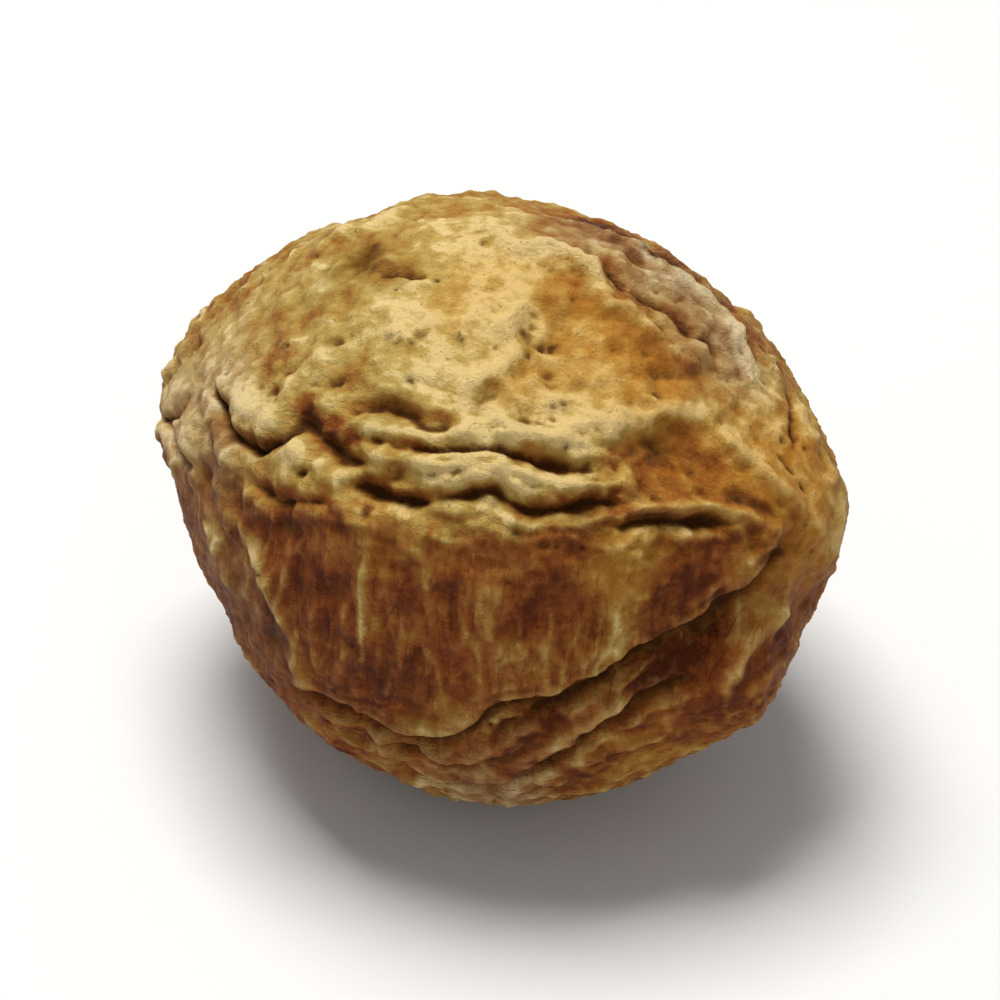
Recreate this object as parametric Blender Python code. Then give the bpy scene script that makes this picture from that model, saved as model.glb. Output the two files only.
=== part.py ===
"""One whole dried chebulic myrobalan, a ribbed and wrinkled ovoid fruit, lying on its side.

Its length runs along X, from the stalk end at -X to the blunt tip at +X. A place on the skin is
written (along, around): along goes from -1 at the stalk end to 1 at the tip, and around is in
degrees, 0 on top, 90 at the front (-Y), 180 underneath and -90 at the back.
"""

import random

import bmesh
import bpy
import numpy as np
from mathutils import noise

MM = 0.001

# The fruit without its wrinkles: an ovoid whose girth is fullest a little toward the tip, and how
# bluntly it ends at the tip and at the stalk end
HALF_LENGTH = 19.3 * MM
GIRTH_RADIUS = 18.2 * MM
FULLEST = 0.10
TIP_POWERS = (1.85, 0.50)
STALK_POWERS = (2.40, 0.70)

# Lengthwise ribs: where they run around the fruit, how far they stand out, and their spread in degrees
RIBS = (
    (-17, 1.0 * MM, 14), (55, 1.1 * MM, 14), (124, 1.0 * MM, 14), (199, 1.4 * MM, 11), (271, 1.3 * MM, 11)
)
RIB_MEAN = 0.30

# Broad uneven swells: place, reach in degrees seen from the middle, and height
SWELLS = (
    ((-0.90, -60), 18, 2.0 * MM),
    ((-0.75, -38), 18, -0.2 * MM),
    ((0.30, -38), 20, -0.7 * MM),
    ((0.75, -38), 18, 0.2 * MM),
    ((0.97, 30), 14, 2.6 * MM),
    ((0.90, 142), 14, 0.3 * MM),
    ((0.55, 142), 20, 1.0 * MM),
    ((-0.80, 142), 18, -1.3 * MM),
    ((-0.97, 60), 16, 0.5 * MM),
    ((0.86, 112), 9, 2.0 * MM),
    ((0.96, 80), 8, -1.0 * MM),
)

# Creases in the skin: route, depth, half width, and height of the lip above and below
CREASES = {
    "fine line over the double crease": (
        ((-0.26, 43), (-0.22, 41), (-0.16, 40), (-0.08, 40), (-0.01, 41), (0.05, 41), (0.12, 40)),
        0.55 * MM, 0.42 * MM, 0.12 * MM, 0.15 * MM,
    ),
    "upper of the double crease": (
        ((-0.24, 49), (-0.19, 46), (-0.10, 46), (0.01, 46), (0.12, 45), (0.21, 44), (0.34, 44), (0.44, 44),
         (0.52, 42), (0.60, 39)),
        0.75 * MM, 0.34 * MM, 0.22 * MM, 0.12 * MM, 0.35,
    ),
    "valley from the notch": (
        ((-0.43, 41), (-0.37, 44), (-0.32, 46), (-0.27, 48), (-0.22, 50), (-0.16, 50), (-0.10, 50)),
        0.90 * MM, 0.60 * MM, 0.15 * MM, 0.20 * MM, 0.30,
    ),
    "hole of the lower crease": (
        ((-0.20, 53), (-0.15, 55), (-0.10, 56), (-0.03, 56), (0.03, 56), (0.09, 55), (0.14, 55)),
        1.20 * MM, 0.62 * MM, 0.15 * MM, 0.25 * MM, 0.30,
    ),
    "lower of the double crease": (
        ((0.02, 55), (0.10, 54), (0.17, 53), (0.23, 51), (0.27, 52), (0.32, 53), (0.37, 53), (0.42, 52),
         (0.49, 50), (0.57, 48), (0.66, 46)),
        0.90 * MM, 0.36 * MM, 0.15 * MM, 0.20 * MM, 0.30,
    ),
    "its end toward the tip": (
        ((0.54, 54), (0.60, 53), (0.66, 51), (0.72, 50), (0.78, 48), (0.83, 46)),
        0.95 * MM, 0.38 * MM, 0.20 * MM, 0.20 * MM, 0.25,
    ),
    "thin line over that": (
        ((0.72, 43), (0.77, 42), (0.82, 40), (0.87, 40), (0.91, 39)),
        0.25 * MM, 0.30 * MM, 0.05 * MM, 0.10 * MM, 0.35,
    ),
    "line toward the tip": (
        ((0.82, 12), (0.87, 17), (0.91, 23), (0.94, 29), (0.97, 36)),
        0.22 * MM, 0.38 * MM, 0.15 * MM, 0.10 * MM, 0.35,
    ),
    "notch between the rib and the tip": (
        ((0.85, -16), (0.87, -8), (0.88, 0), (0.89, 6), (0.90, 12)),
        0.50 * MM, 0.38 * MM, 0.10 * MM, 0.20 * MM, 0.35,
    ),
    "ragged notch by the stalk end": (
        ((-0.76, 33), (-0.73, 38), (-0.68, 43), (-0.62, 49), (-0.55, 52), (-0.50, 53), (-0.45, 50), (-0.40, 47),
         (-0.36, 47)),
        0.90 * MM, 0.36 * MM, 0.20 * MM, 0.20 * MM,
    ),
    "line round the stalk end": (
        ((-0.98, 40), (-0.93, 53), (-0.87, 60), (-0.80, 63), (-0.72, 62)),
        0.60 * MM, 0.32 * MM, 0.15 * MM, 0.15 * MM,
    ),
    "line under the notch": (
        ((-0.54, 59), (-0.46, 61), (-0.38, 62), (-0.30, 60), (-0.22, 60)),
        0.40 * MM, 0.32 * MM, 0.15 * MM, 0.10 * MM,
    ),
    "long lower furrow": (
        ((0.95, 50), (0.92, 57), (0.88, 69), (0.83, 76), (0.77, 82), (0.69, 86), (0.59, 91), (0.45, 96),
         (0.31, 98), (0.24, 103), (0.14, 108), (0.04, 110), (-0.11, 108), (-0.24, 107), (-0.42, 113)),
        1.40 * MM, 0.55 * MM, 0.20 * MM, 0.15 * MM, 0.12,
    ),
    "second line under it": (
        ((0.62, 91), (0.56, 94), (0.48, 97), (0.40, 99), (0.32, 102), (0.26, 107)),
        0.60 * MM, 0.30 * MM, 0.12 * MM, 0.15 * MM,
    ),
    "furrow below it": (
        ((0.80, 95), (0.73, 99), (0.67, 100), (0.62, 103), (0.54, 108), (0.46, 112), (0.38, 116), (0.29, 120),
         (0.17, 122), (0.05, 120), (-0.08, 116), (-0.18, 114), (-0.30, 116)),
        1.00 * MM, 0.40 * MM, 0.20 * MM, 0.15 * MM, 0.12,
    ),
    "line between the furrows": (
        ((0.44, 106), (0.36, 108), (0.28, 112), (0.18, 115), (0.08, 114), (-0.04, 113), (-0.16, 111)),
        0.70 * MM, 0.32 * MM, 0.15 * MM, 0.15 * MM,
    ),
    "wide bay of the long furrow": (
        ((0.93, 62), (0.89, 71), (0.84, 80), (0.78, 87), (0.71, 92), (0.63, 95), (0.55, 98)),
        0.90 * MM, 0.90 * MM, 0, 0, 0.35,
    ),
    "lowest line": (
        ((0.44, 121), (0.36, 125), (0.27, 129), (0.16, 131), (0.04, 128), (-0.10, 123), (-0.24, 121)),
        0.55 * MM, 0.34 * MM, 0.15 * MM, 0.10 * MM,
    ),
    "line beside the top rib": (
        ((0.14, -8), (0.21, -6), (0.32, -4), (0.43, -1), (0.53, -2), (0.61, -1), (0.68, 0), (0.75, 6)),
        0.45 * MM, 0.36 * MM, 0.15 * MM, 0.15 * MM,
    ),
    "line behind the top rib": (
        ((0.30, -20), (0.42, -18), (0.54, -17), (0.64, -16), (0.73, -14), (0.80, -12)),
        0.40 * MM, 0.36 * MM, 0.15 * MM, 0.15 * MM,
    ),
    "second line behind it": (
        ((0.10, -24), (0.24, -25), (0.38, -24), (0.50, -22), (0.60, -22)),
        0.40 * MM, 0.36 * MM, 0.10 * MM, 0.10 * MM,
    ),
    "short line on the top": (
        ((-0.30, 9), (-0.22, 9), (-0.13, 10)),
        0.45 * MM, 0.32 * MM, 0.10 * MM, 0.10 * MM,
    ),
}

# Raised folds: route, height and half width
FOLDS = {
    "over the upper crease": (
        ((-0.22, 44), (-0.14, 44), (-0.07, 44), (0.01, 44), (0.08, 44)),
        0.25 * MM, 0.30 * MM,
    ),
    "between the double crease": (
        ((-0.12, 49), (-0.04, 49), (0.06, 49), (0.20, 48), (0.32, 48), (0.45, 46), (0.60, 46)),
        0.30 * MM, 0.45 * MM,
    ),
    "its lip toward the tip": (
        ((0.50, 48), (0.58, 48), (0.65, 48), (0.72, 46), (0.78, 44), (0.84, 43), (0.89, 44), (0.93, 46)),
        0.35 * MM, 0.28 * MM,
    ),
    "puffed edge over the hollow": (
        ((0.05, 40), (0.16, 41), (0.28, 40), (0.38, 38), (0.45, 33), (0.54, 31), (0.58, 28), (0.61, 24),
         (0.65, 20), (0.70, 18), (0.76, 17)),
        0.55 * MM, 0.55 * MM,
    ),
    "from the hollow to the tip": (
        ((0.72, 18), (0.75, 21), (0.79, 24), (0.83, 26), (0.87, 30), (0.90, 32), (0.93, 36)),
        0.70 * MM, 0.32 * MM,
    ),
    "along the top": (
        ((-0.11, -12), (0.00, -4), (0.09, -2), (0.17, -4), (0.25, -3), (0.34, 1), (0.39, 5), (0.45, 4),
         (0.53, 5), (0.59, 6), (0.65, 2)),
        0.60 * MM, 0.40 * MM,
    ),
    "behind the top rib": (
        ((0.16, -17), (0.27, -16), (0.37, -14), (0.48, -13), (0.58, -13), (0.68, -13), (0.75, -8), (0.82, -7)),
        0.35 * MM, 0.45 * MM,
    ),
    "on the rib by the stalk end": (
        ((-0.59, -16), (-0.50, -10), (-0.43, -8), (-0.37, -10), (-0.31, -13), (-0.24, -17), (-0.15, -14)),
        0.35 * MM, 0.45 * MM,
    ),
    "beside the dimple": (
        ((-0.37, -6), (-0.33, -1), (-0.29, 3), (-0.28, 7)),
        0.20 * MM, 0.40 * MM,
    ),
    "across the top": (
        ((0.16, 8), (0.17, 13), (0.15, 18), (0.18, 22), (0.17, 26), (0.12, 31), (0.11, 36)),
        0.60 * MM, 0.44 * MM,
    ),
    "under the double crease": (
        ((-0.24, 54), (-0.17, 56), (-0.08, 57), (0.00, 57), (0.08, 56), (0.16, 55)),
        0.30 * MM, 0.35 * MM,
    ),
    "between the lower furrows": (
        ((0.68, 95), (0.61, 99), (0.55, 103), (0.49, 105), (0.41, 108), (0.34, 110)),
        0.35 * MM, 0.35 * MM,
    ),
    "over the long furrow": (
        ((0.34, 97), (0.28, 102), (0.20, 103), (0.11, 105), (0.02, 106), (-0.10, 105)),
        0.40 * MM, 0.40 * MM,
    ),
    "down the front": (
        ((-0.14, 59), (-0.10, 65), (-0.09, 72), (-0.08, 78), (-0.08, 84), (-0.05, 89)),
        0.30 * MM, 0.35 * MM,
    ),
    "down the front beside it": (
        ((0.07, 66), (0.09, 72), (0.11, 77), (0.12, 82)),
        0.20 * MM, 0.30 * MM,
    ),
    "down the middle of the front": (
        ((0.22, 68), (0.26, 76), (0.30, 83), (0.32, 88)),
        0.25 * MM, 0.35 * MM,
    ),
    "down the front by the tip": (
        ((0.55, 64), (0.60, 74), (0.62, 82)),
        0.30 * MM, 0.40 * MM,
    ),
    "down the front by the stalk end": (
        ((-0.56, 66), (-0.50, 73), (-0.44, 79), (-0.38, 87), (-0.33, 94), (-0.30, 103), (-0.22, 105)),
        0.45 * MM, 0.35 * MM,
    ),
    "down the stalk end": (
        ((-0.70, 74), (-0.64, 81), (-0.61, 86), (-0.57, 94)),
        0.35 * MM, 0.35 * MM,
    ),
    "down the tip": (
        ((0.97, 76), (0.95, 83), (0.92, 86), (0.88, 90), (0.85, 95), (0.82, 101), (0.78, 106)),
        0.50 * MM, 0.42 * MM,
    ),
}

# Round hollows, and with a minus sign round bumps: place, depth and radius
HOLLOWS = {
    "hollow between the folds": ((0.64, 32), 0.95 * MM, 2.2 * MM),
    "its left end": ((0.57, 36), 0.50 * MM, 1.6 * MM),
    "its right end": ((0.74, 32), 0.45 * MM, 1.6 * MM),
    "bay by the long furrow": ((0.75, 89), 0.50 * MM, 1.8 * MM),
    "dimple": ((-0.37, 4), 0.50 * MM, 1.3 * MM),
    "swollen top": ((-0.10, 27), -0.35 * MM, 4.5 * MM),
    "dip beside it": ((0.28, 17), 0.70 * MM, 2.6 * MM),
    "its low end": ((0.22, 27), 0.35 * MM, 1.4 * MM),
    "dip over the puffed edge": ((0.42, 23), 0.40 * MM, 2.6 * MM),
    "dip by the top rib": ((0.59, 12), 0.45 * MM, 2.0 * MM),
    "dip at the front": ((0.48, 73), 0.40 * MM, 3.0 * MM),
    "dip at the front by the stalk end": ((-0.24, 77), 0.40 * MM, 2.4 * MM),
    "dark pit by the notch": ((-0.37, 68), 0.45 * MM, 2.0 * MM),
    "pit where the creases meet": ((-0.39, 45), 0.50 * MM, 0.9 * MM),
    "pit under it": ((-0.33, 55), 0.40 * MM, 0.5 * MM),
    "pit by the stalk end": ((-0.71, 64), 0.50 * MM, 1.0 * MM),
    "hollow at the tip": ((0.92, 52), 0.50 * MM, 0.9 * MM),
    "knob in the notch": ((-0.57, 44), -0.35 * MM, 1.1 * MM),
    "knob over the notch": ((-0.61, 39), -0.25 * MM, 1.0 * MM),
    "knob beside the notch": ((-0.50, 47), -0.35 * MM, 1.0 * MM),
    "knob under the notch": ((-0.41, 54), -0.40 * MM, 1.0 * MM),
    "knob under the valley": ((-0.36, 50), -0.30 * MM, 0.7 * MM),
    "knob on the lower lip": ((-0.28, 54), -0.30 * MM, 0.8 * MM),
    "second knob on the lower lip": ((-0.21, 55), -0.35 * MM, 0.9 * MM),
    "low knob by the stalk end": ((-0.60, 57), -0.40 * MM, 1.1 * MM),
    "knob by the stalk end": ((-0.79, 52), -0.45 * MM, 1.5 * MM),
    "upper knob by the stalk end": ((-0.74, 36), -0.25 * MM, 1.0 * MM),
    "first knob between the creases": ((-0.10, 48), -0.25 * MM, 0.6 * MM),
    "second knob between the creases": ((0.03, 49), -0.25 * MM, 0.7 * MM),
    "third knob between the creases": ((0.10, 49), -0.20 * MM, 0.6 * MM),
}

# The sides that the front view hides: a pair of creases on each rib, and shallower furrows and
# short cross folds on the faces between the ribs
BACK_RIBS = (199, 271)
BACK_FACES = (160, 235, 306)
RIB_PAIR_GAP = 7.0
FACE_FURROWS = 3
FACE_FURROW_GAP = 12.0
RIB_CREASE = (1.0 * MM, 1.5 * MM)
FACE_CREASE = (0.5 * MM, 0.9 * MM)
BACK_HALF_WIDTH = (0.40 * MM, 0.55 * MM)
BACK_REACH = (0.62, 0.93)
BACK_SWAY = 3.0
BACK_LIP = 0.2 * MM
BACK_FADE = 0.45
CROSS_FOLDS = 18
CROSS_LENGTH = (12, 26)
CROSS_HEIGHT = 0.35 * MM
CROSS_HALF_WIDTH = 0.50 * MM
SEED = 7

# The scar where the stalk was, and the short pleats that run out from it
SCAR_RADIUS = 1.7 * MM
SCAR_DEPTH = 0.9 * MM
SCAR_RIM = 0.4 * MM
PLEATS = 11
PLEAT_DEPTH = 0.5 * MM
PLEAT_HALF_WIDTH = 0.4 * MM
PLEAT_FROM, PLEAT_TO = -0.985, -0.86

# Knobbly patches of the skin: place, reach, and size and height of the knobs
KNOBBLY = (
    ((-0.60, 50), 4.5 * MM, 1.8 * MM, 0.50 * MM),
    ((-0.55, 50), 5.0 * MM, 0.9 * MM, 0.28 * MM),
    ((-0.30, 50), 3.5 * MM, 1.1 * MM, 0.28 * MM),
    ((-0.02, 49), 2.5 * MM, 1.0 * MM, 0.18 * MM),
    ((0.24, 40), 3.5 * MM, 1.3 * MM, 0.35 * MM),
    ((0.15, 57), 4.0 * MM, 1.4 * MM, 0.16 * MM),
    ((0.15, 112), 4.0 * MM, 1.5 * MM, 0.20 * MM),
    ((-0.35, 104), 3.5 * MM, 1.4 * MM, 0.25 * MM),
    ((0.55, -6), 5.0 * MM, 1.3 * MM, 0.25 * MM),
    ((0.10, 4), 5.0 * MM, 1.6 * MM, 0.20 * MM),
)

# How much shallower and deeper a crease gets along its way
PATCHY_SIZE = 3.0 * MM
PATCHY_SHARE = 0.5

# How much narrower and wider it gets
UNEVEN_SIZE = 1.6 * MM
UNEVEN_SHARE = 0.6

# How far creases and folds stray from their smooth routes: size and shift
RAGGED = ((4.5 * MM, 0.20 * MM), (1.4 * MM, 0.13 * MM))
# A crease falls steeply on its upper side and gently on its lower one: share of its half width
STEEP, GENTLE = 0.70, 1.25

# Uneven lumps of the whole skin, and the net of small wrinkles on it: size and height
LUMPS = ((7.0 * MM, 0.30 * MM), (2.6 * MM, 0.15 * MM))
WRINKLES = ((3.0 * MM, 0.55 * MM), (1.5 * MM, 0.30 * MM))
WRINKLE_MEAN = 0.20
# The wrinkles run lengthwise, but around the fruit on its front face, and are fainter on its pale top
LENGTH_STRETCH = (0.40, 1.2, 1.2)
CROSS_STRETCH = (1.5, 0.45, 0.45)
FRONT_FACE = (82, 17)
PALE_TOP = (16, 20)
TOP_SHARE = 0.35

# How finely it is modelled, and the small flat that it lies on
SPHERE_STEPS = 7
TRIANGLES = 10500
REST_CUT = 0.75 * MM

SKIN_COLOUR = (0.31, 0.17, 0.06, 1.0)
SKIN_ROUGHNESS = 0.55


def ways(along, around):
    """Unit vectors from the middle of the fruit toward places on it."""
    angle = np.radians(around)
    girth = np.sqrt(1 - np.square(along))
    return np.stack([along + 0 * angle, -girth * np.sin(angle), girth * np.cos(angle)], -1)


def fullness(along):
    """The fruit's thickness along its length, 1 at its middle and 0 at both ends."""
    toward_tip = np.clip((along - FULLEST) / (1 - FULLEST), 0, 1)
    toward_stalk = np.clip((FULLEST - along) / (1 + FULLEST), 0, 1)
    tip = (1 - toward_tip ** TIP_POWERS[0]) ** TIP_POWERS[1]
    stalk = (1 - toward_stalk ** STALK_POWERS[0]) ** STALK_POWERS[1]
    return np.minimum(tip, stalk)


def ribs(along, around):
    """How far the lengthwise ribs stand out, less their mean, and nothing at both ends."""
    rise = np.zeros(len(along))
    for centre, height, spread in RIBS:
        off = (around - centre + 180) % 360 - 180
        rise += height * (hump(off, spread) - RIB_MEAN)
    return rise * np.sqrt(1 - np.square(along))


def ovoid(way):
    """The fruit without its wrinkles, as one point for each unit vector."""
    along = np.clip(way[:, 0], -1, 1)
    around = np.degrees(np.arctan2(-way[:, 1], way[:, 2]))
    radius = GIRTH_RADIUS * fullness(along) + ribs(along, around)
    angle = np.radians(around)
    points = np.stack([HALF_LENGTH * along, -radius * np.sin(angle), radius * np.cos(angle)], -1)
    for place, reach, height in SWELLS:
        off = np.degrees(np.arccos(np.clip(way @ ways(*place), -1, 1)))
        points += way * (height * np.exp(-0.5 * (off / reach) ** 2))[:, None]
    return points


def smooth_line(route, steps=6):
    """Points on the skin along a smooth curve through the places of a route."""
    places = np.array(route, float)
    places = np.vstack([2 * places[0] - places[1], places, 2 * places[-1] - places[-2]])
    found = []
    for before, start, end, after in zip(places, places[1:], places[2:], places[3:]):
        for t in np.arange(steps) / steps:
            turn = (end - before) * t + (2 * before - 5 * start + 4 * end - after) * t**2
            turn += (3 * start - before - 3 * end + after) * t**3
            found.append(start + turn / 2)
    found.append(places[-2])
    found = np.clip(found, (-0.999, -720), (0.999, 720))
    return ovoid(ways(found[:, 0], found[:, 1]))


def nearness(points, route, reach):
    """For the points within reach of a route: which they are, how far to each side of it they lie,
    and how far along it from 0 to 1. The side is positive where around grows, on a route toward the tip."""
    line = smooth_line(route)
    low, high = line.min(0) - reach, line.max(0) + reach
    near = np.flatnonzero(((points > low) & (points < high)).all(1))
    spans = line[1:] - line[:-1]
    lengths = np.linalg.norm(spans, axis=1)
    offset = points[near][:, None] - line[:-1]
    t = np.clip((offset * spans).sum(2) / lengths**2, 0, 1)
    gap = offset - t[:, :, None] * spans
    distance = np.linalg.norm(gap, axis=2)
    nearest = distance.argmin(1)
    rows = np.arange(len(near))
    ends = np.concatenate([[0], np.cumsum(lengths)])
    share = (ends[nearest] + t[rows, nearest] * lengths[nearest]) / ends[-1]
    side = np.sign((np.cross(spans[nearest], points[near]) * gap[rows, nearest]).sum(1))
    inside = distance[rows, nearest] < reach
    return near[inside], (-side * distance[rows, nearest])[inside], share[inside]


def faded(share, ends):
    """1 along a line, sinking to 0 at both of its ends."""
    t = np.clip(np.minimum(share, 1 - share) / ends, 0, 1)
    return t * t * (3 - 2 * t)


def hump(offset, half_width):
    return np.exp(-0.5 * (offset / half_width) ** 2)


def add_crease(relief, points, route, depth, half_width, upper_lip, lower_lip, ends=0.18):
    near, side, share = nearness(points, route, 6 * half_width)
    rise = upper_lip * hump(side + 2.2 * half_width, 1.2 * half_width)
    rise += lower_lip * hump(side - 2.2 * half_width, 1.2 * half_width)
    wall = half_width * np.where(side < 0, STEEP, GENTLE)
    wall *= 1 + UNEVEN_SHARE * noises(points[near] / UNEVEN_SIZE)
    depths = depth * (1 + PATCHY_SHARE * noises(points[near] / PATCHY_SIZE))
    relief[near] += faded(share, ends) * (rise - depths * np.exp(-((np.abs(side) / wall) ** 1.4)))


def add_fold(relief, points, route, height, half_width):
    near, side, share = nearness(points, route, 4 * half_width)
    relief[near] += faded(share, 0.25) * height * hump(side, half_width)


def add_hollow(relief, points, place, depth, radius):
    centre = ovoid(ways(*place)[None])[0]
    relief -= depth * hump(np.linalg.norm(points - centre, axis=1), 0.6 * radius)


def back_crease(relief, points, draw, around, depths):
    """One lengthwise furrow of the hidden sides."""
    start, end = -draw.uniform(*BACK_REACH), draw.uniform(*BACK_REACH)
    stops = [start + (end - start) * k / 7 for k in range(8)]
    route = [(along, around + draw.uniform(-BACK_SWAY, BACK_SWAY)) for along in stops]
    depth, half_width = draw.uniform(*depths), draw.uniform(*BACK_HALF_WIDTH)
    add_crease(relief, points, route, depth, half_width, BACK_LIP, BACK_LIP, BACK_FADE)


def add_back(relief, points):
    draw = random.Random(SEED)
    for rib in BACK_RIBS:
        for side in (-0.5, 0.5):
            back_crease(relief, points, draw, rib + side * RIB_PAIR_GAP, RIB_CREASE)
    for face in BACK_FACES:
        for i in range(FACE_FURROWS):
            around = face + FACE_FURROW_GAP * (i - (FACE_FURROWS - 1) / 2)
            back_crease(relief, points, draw, around, FACE_CREASE)
    for i in range(CROSS_FOLDS):
        along, around = draw.uniform(-0.7, 0.7), BACK_FACES[i % 3] + draw.uniform(-22, 22)
        length, lean = draw.uniform(*CROSS_LENGTH), draw.uniform(-0.08, 0.08)
        route = [(along + lean * k, around + length * k / 2) for k in (-1, 0, 1)]
        add_fold(relief, points, route, CROSS_HEIGHT, CROSS_HALF_WIDTH)


def add_stalk_end(relief, points):
    centre = ovoid(ways(-0.999, 0)[None])[0]
    off = np.linalg.norm(points - centre, axis=1)
    relief -= SCAR_DEPTH * hump(off, 0.6 * SCAR_RADIUS)
    relief += SCAR_RIM * hump(off - 1.5 * SCAR_RADIUS, 0.4 * SCAR_RADIUS)
    for i in range(PLEATS):
        around = 360 * i / PLEATS + 9 * (i % 3)
        route = ((PLEAT_FROM, around), ((PLEAT_FROM + PLEAT_TO) / 2, around + 4), (PLEAT_TO, around))
        add_crease(relief, points, route, PLEAT_DEPTH, PLEAT_HALF_WIDTH, 0, 0)


def add_lumps(relief, points):
    for size, height in LUMPS:
        relief += height * noises(points / size)


def add_knobs(relief, points):
    for place, reach, size, height in KNOBBLY:
        off = np.linalg.norm(points - ovoid(ways(*place)[None])[0], axis=1)
        near = np.flatnonzero(off < 3 * reach)
        relief[near] += height * hump(off[near], reach) * noises(points[near] / size)


def wrinkle_depths(points, size):
    """0 on the sharp crests of a net of wrinkles of that size, and larger in the dips between them."""
    around = np.degrees(np.arctan2(-points[:, 1], points[:, 2]))
    front = hump(around - FRONT_FACE[0], FRONT_FACE[1])
    along = np.abs(noises(points / size * LENGTH_STRETCH))
    across = np.abs(noises(points / size * CROSS_STRETCH))
    return (1 - front) * along + front * across


def wrinkled_share(points):
    """How strong the wrinkles are: all of them, but few on the pale top."""
    around = np.degrees(np.arctan2(-points[:, 1], points[:, 2]))
    return 1 - (1 - TOP_SHARE) * hump(around - PALE_TOP[0], PALE_TOP[1])


def add_wrinkles(relief, points, wrinkles):
    strong = wrinkled_share(points)
    for size, height in wrinkles:
        relief -= height * strong * (wrinkle_depths(points, size) - WRINKLE_MEAN)


def noises(points):
    return np.array([noise.noise(point) for point in points.tolist()])


def ragged(points):
    """The points moved about a little, which makes a line measured from them uneven."""
    moved = points.copy()
    for size, shift in RAGGED:
        moved += shift * np.array([noise.noise_vector(point) for point in (points / size).tolist()])
    return moved


def relief_of(points):
    """How far each point of the plain ovoid moves out, or in where it is negative."""
    relief = np.zeros(len(points))
    uneven = ragged(points)
    for crease in CREASES.values():
        add_crease(relief, uneven, *crease)
    for fold in FOLDS.values():
        add_fold(relief, uneven, *fold)
    for hollow in HOLLOWS.values():
        add_hollow(relief, points, *hollow)
    add_back(relief, uneven)
    add_stalk_end(relief, uneven)
    add_lumps(relief, points)
    add_knobs(relief, points)
    add_wrinkles(relief, points, WRINKLES)
    return relief


def read_points(mesh):
    points = np.empty(3 * len(mesh.vertices))
    mesh.vertices.foreach_get("co", points)
    return points.reshape(-1, 3)


def write_points(mesh, points):
    mesh.vertices.foreach_set("co", points.ravel())
    mesh.update()


def read_normals(mesh):
    normals = np.empty(3 * len(mesh.vertices))
    mesh.vertex_normals.foreach_get("vector", normals)
    return normals.reshape(-1, 3)


def wrinkled_mesh():
    """A fine ball whose points are moved to the wrinkled fruit's skin."""
    bm = bmesh.new()
    bmesh.ops.create_icosphere(bm, subdivisions=SPHERE_STEPS, radius=1)
    mesh = bpy.data.meshes.new("dried_fruit")
    bm.to_mesh(mesh)
    bm.free()
    way = read_points(mesh)
    way /= np.linalg.norm(way, axis=1, keepdims=True)
    points = ovoid(way)
    write_points(mesh, points)
    write_points(mesh, points + read_normals(mesh) * relief_of(points)[:, None])
    return mesh


def simplified(mesh, triangles):
    """The same shape with that many triangles, most of them where it bends most."""
    helper = bpy.data.objects.new("wrinkled_ball", mesh)
    bpy.context.scene.collection.objects.link(helper)
    decimate = helper.modifiers.new("fewer triangles", "DECIMATE")
    decimate.ratio = triangles / len(mesh.polygons)
    found = helper.evaluated_get(bpy.context.evaluated_depsgraph_get())
    simple = bpy.data.meshes.new_from_object(found)
    bpy.data.objects.remove(helper)
    bpy.data.meshes.remove(mesh)
    return simple


def rest_on_flat(mesh):
    """Cuts the small flat that the fruit lies on, and puts the origin under the middle of its box."""
    level = read_points(mesh)[:, 2].min() + REST_CUT
    bm = bmesh.new()
    bm.from_mesh(mesh)
    everything = bm.verts[:] + bm.edges[:] + bm.faces[:]
    cut = bmesh.ops.bisect_plane(
        bm, geom=everything, plane_co=(0, 0, level), plane_no=(0, 0, -1), clear_outer=True
    )
    rim = [piece for piece in cut["geom_cut"] if isinstance(piece, bmesh.types.BMEdge)]
    bmesh.ops.contextual_create(bm, geom=rim)
    bmesh.ops.triangulate(bm, faces=bm.faces)
    bm.to_mesh(mesh)
    bm.free()
    points = read_points(mesh)
    low, high = points.min(0), points.max(0)
    write_points(mesh, points - ((low[0] + high[0]) / 2, (low[1] + high[1]) / 2, low[2]))


def skin_material():
    material = bpy.data.materials.new("dried skin")
    material.use_nodes = True
    shader = material.node_tree.nodes["Principled BSDF"]
    shader.inputs["Base Color"].default_value = SKIN_COLOUR
    shader.inputs["Roughness"].default_value = SKIN_ROUGHNESS
    shader.inputs["Metallic"].default_value = 0
    return material


def main():
    for old in list(bpy.data.objects):
        bpy.data.objects.remove(old)
    collection = bpy.data.collections.new("dried chebulic myrobalan")
    bpy.context.scene.collection.children.link(collection)
    mesh = simplified(wrinkled_mesh(), TRIANGLES)
    rest_on_flat(mesh)
    mesh.shade_smooth()
    mesh.materials.append(skin_material())
    collection.objects.link(bpy.data.objects.new("dried_fruit", mesh))


main()
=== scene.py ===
"""Looks of one whole dried chebulic myrobalan: its wrinkled skin, on a pale floor in soft light.

Its length runs along X, from the stalk end at -X to the blunt tip at +X. A place on the skin is
written (along, around): along goes from -1 at the stalk end to 1 at the tip, and around is in
degrees, 0 on top, 90 at the front (-Y), 180 underneath and -90 at the back.
"""

import math
import random

import bmesh
import bpy
import numpy as np
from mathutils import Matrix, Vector, noise


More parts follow.
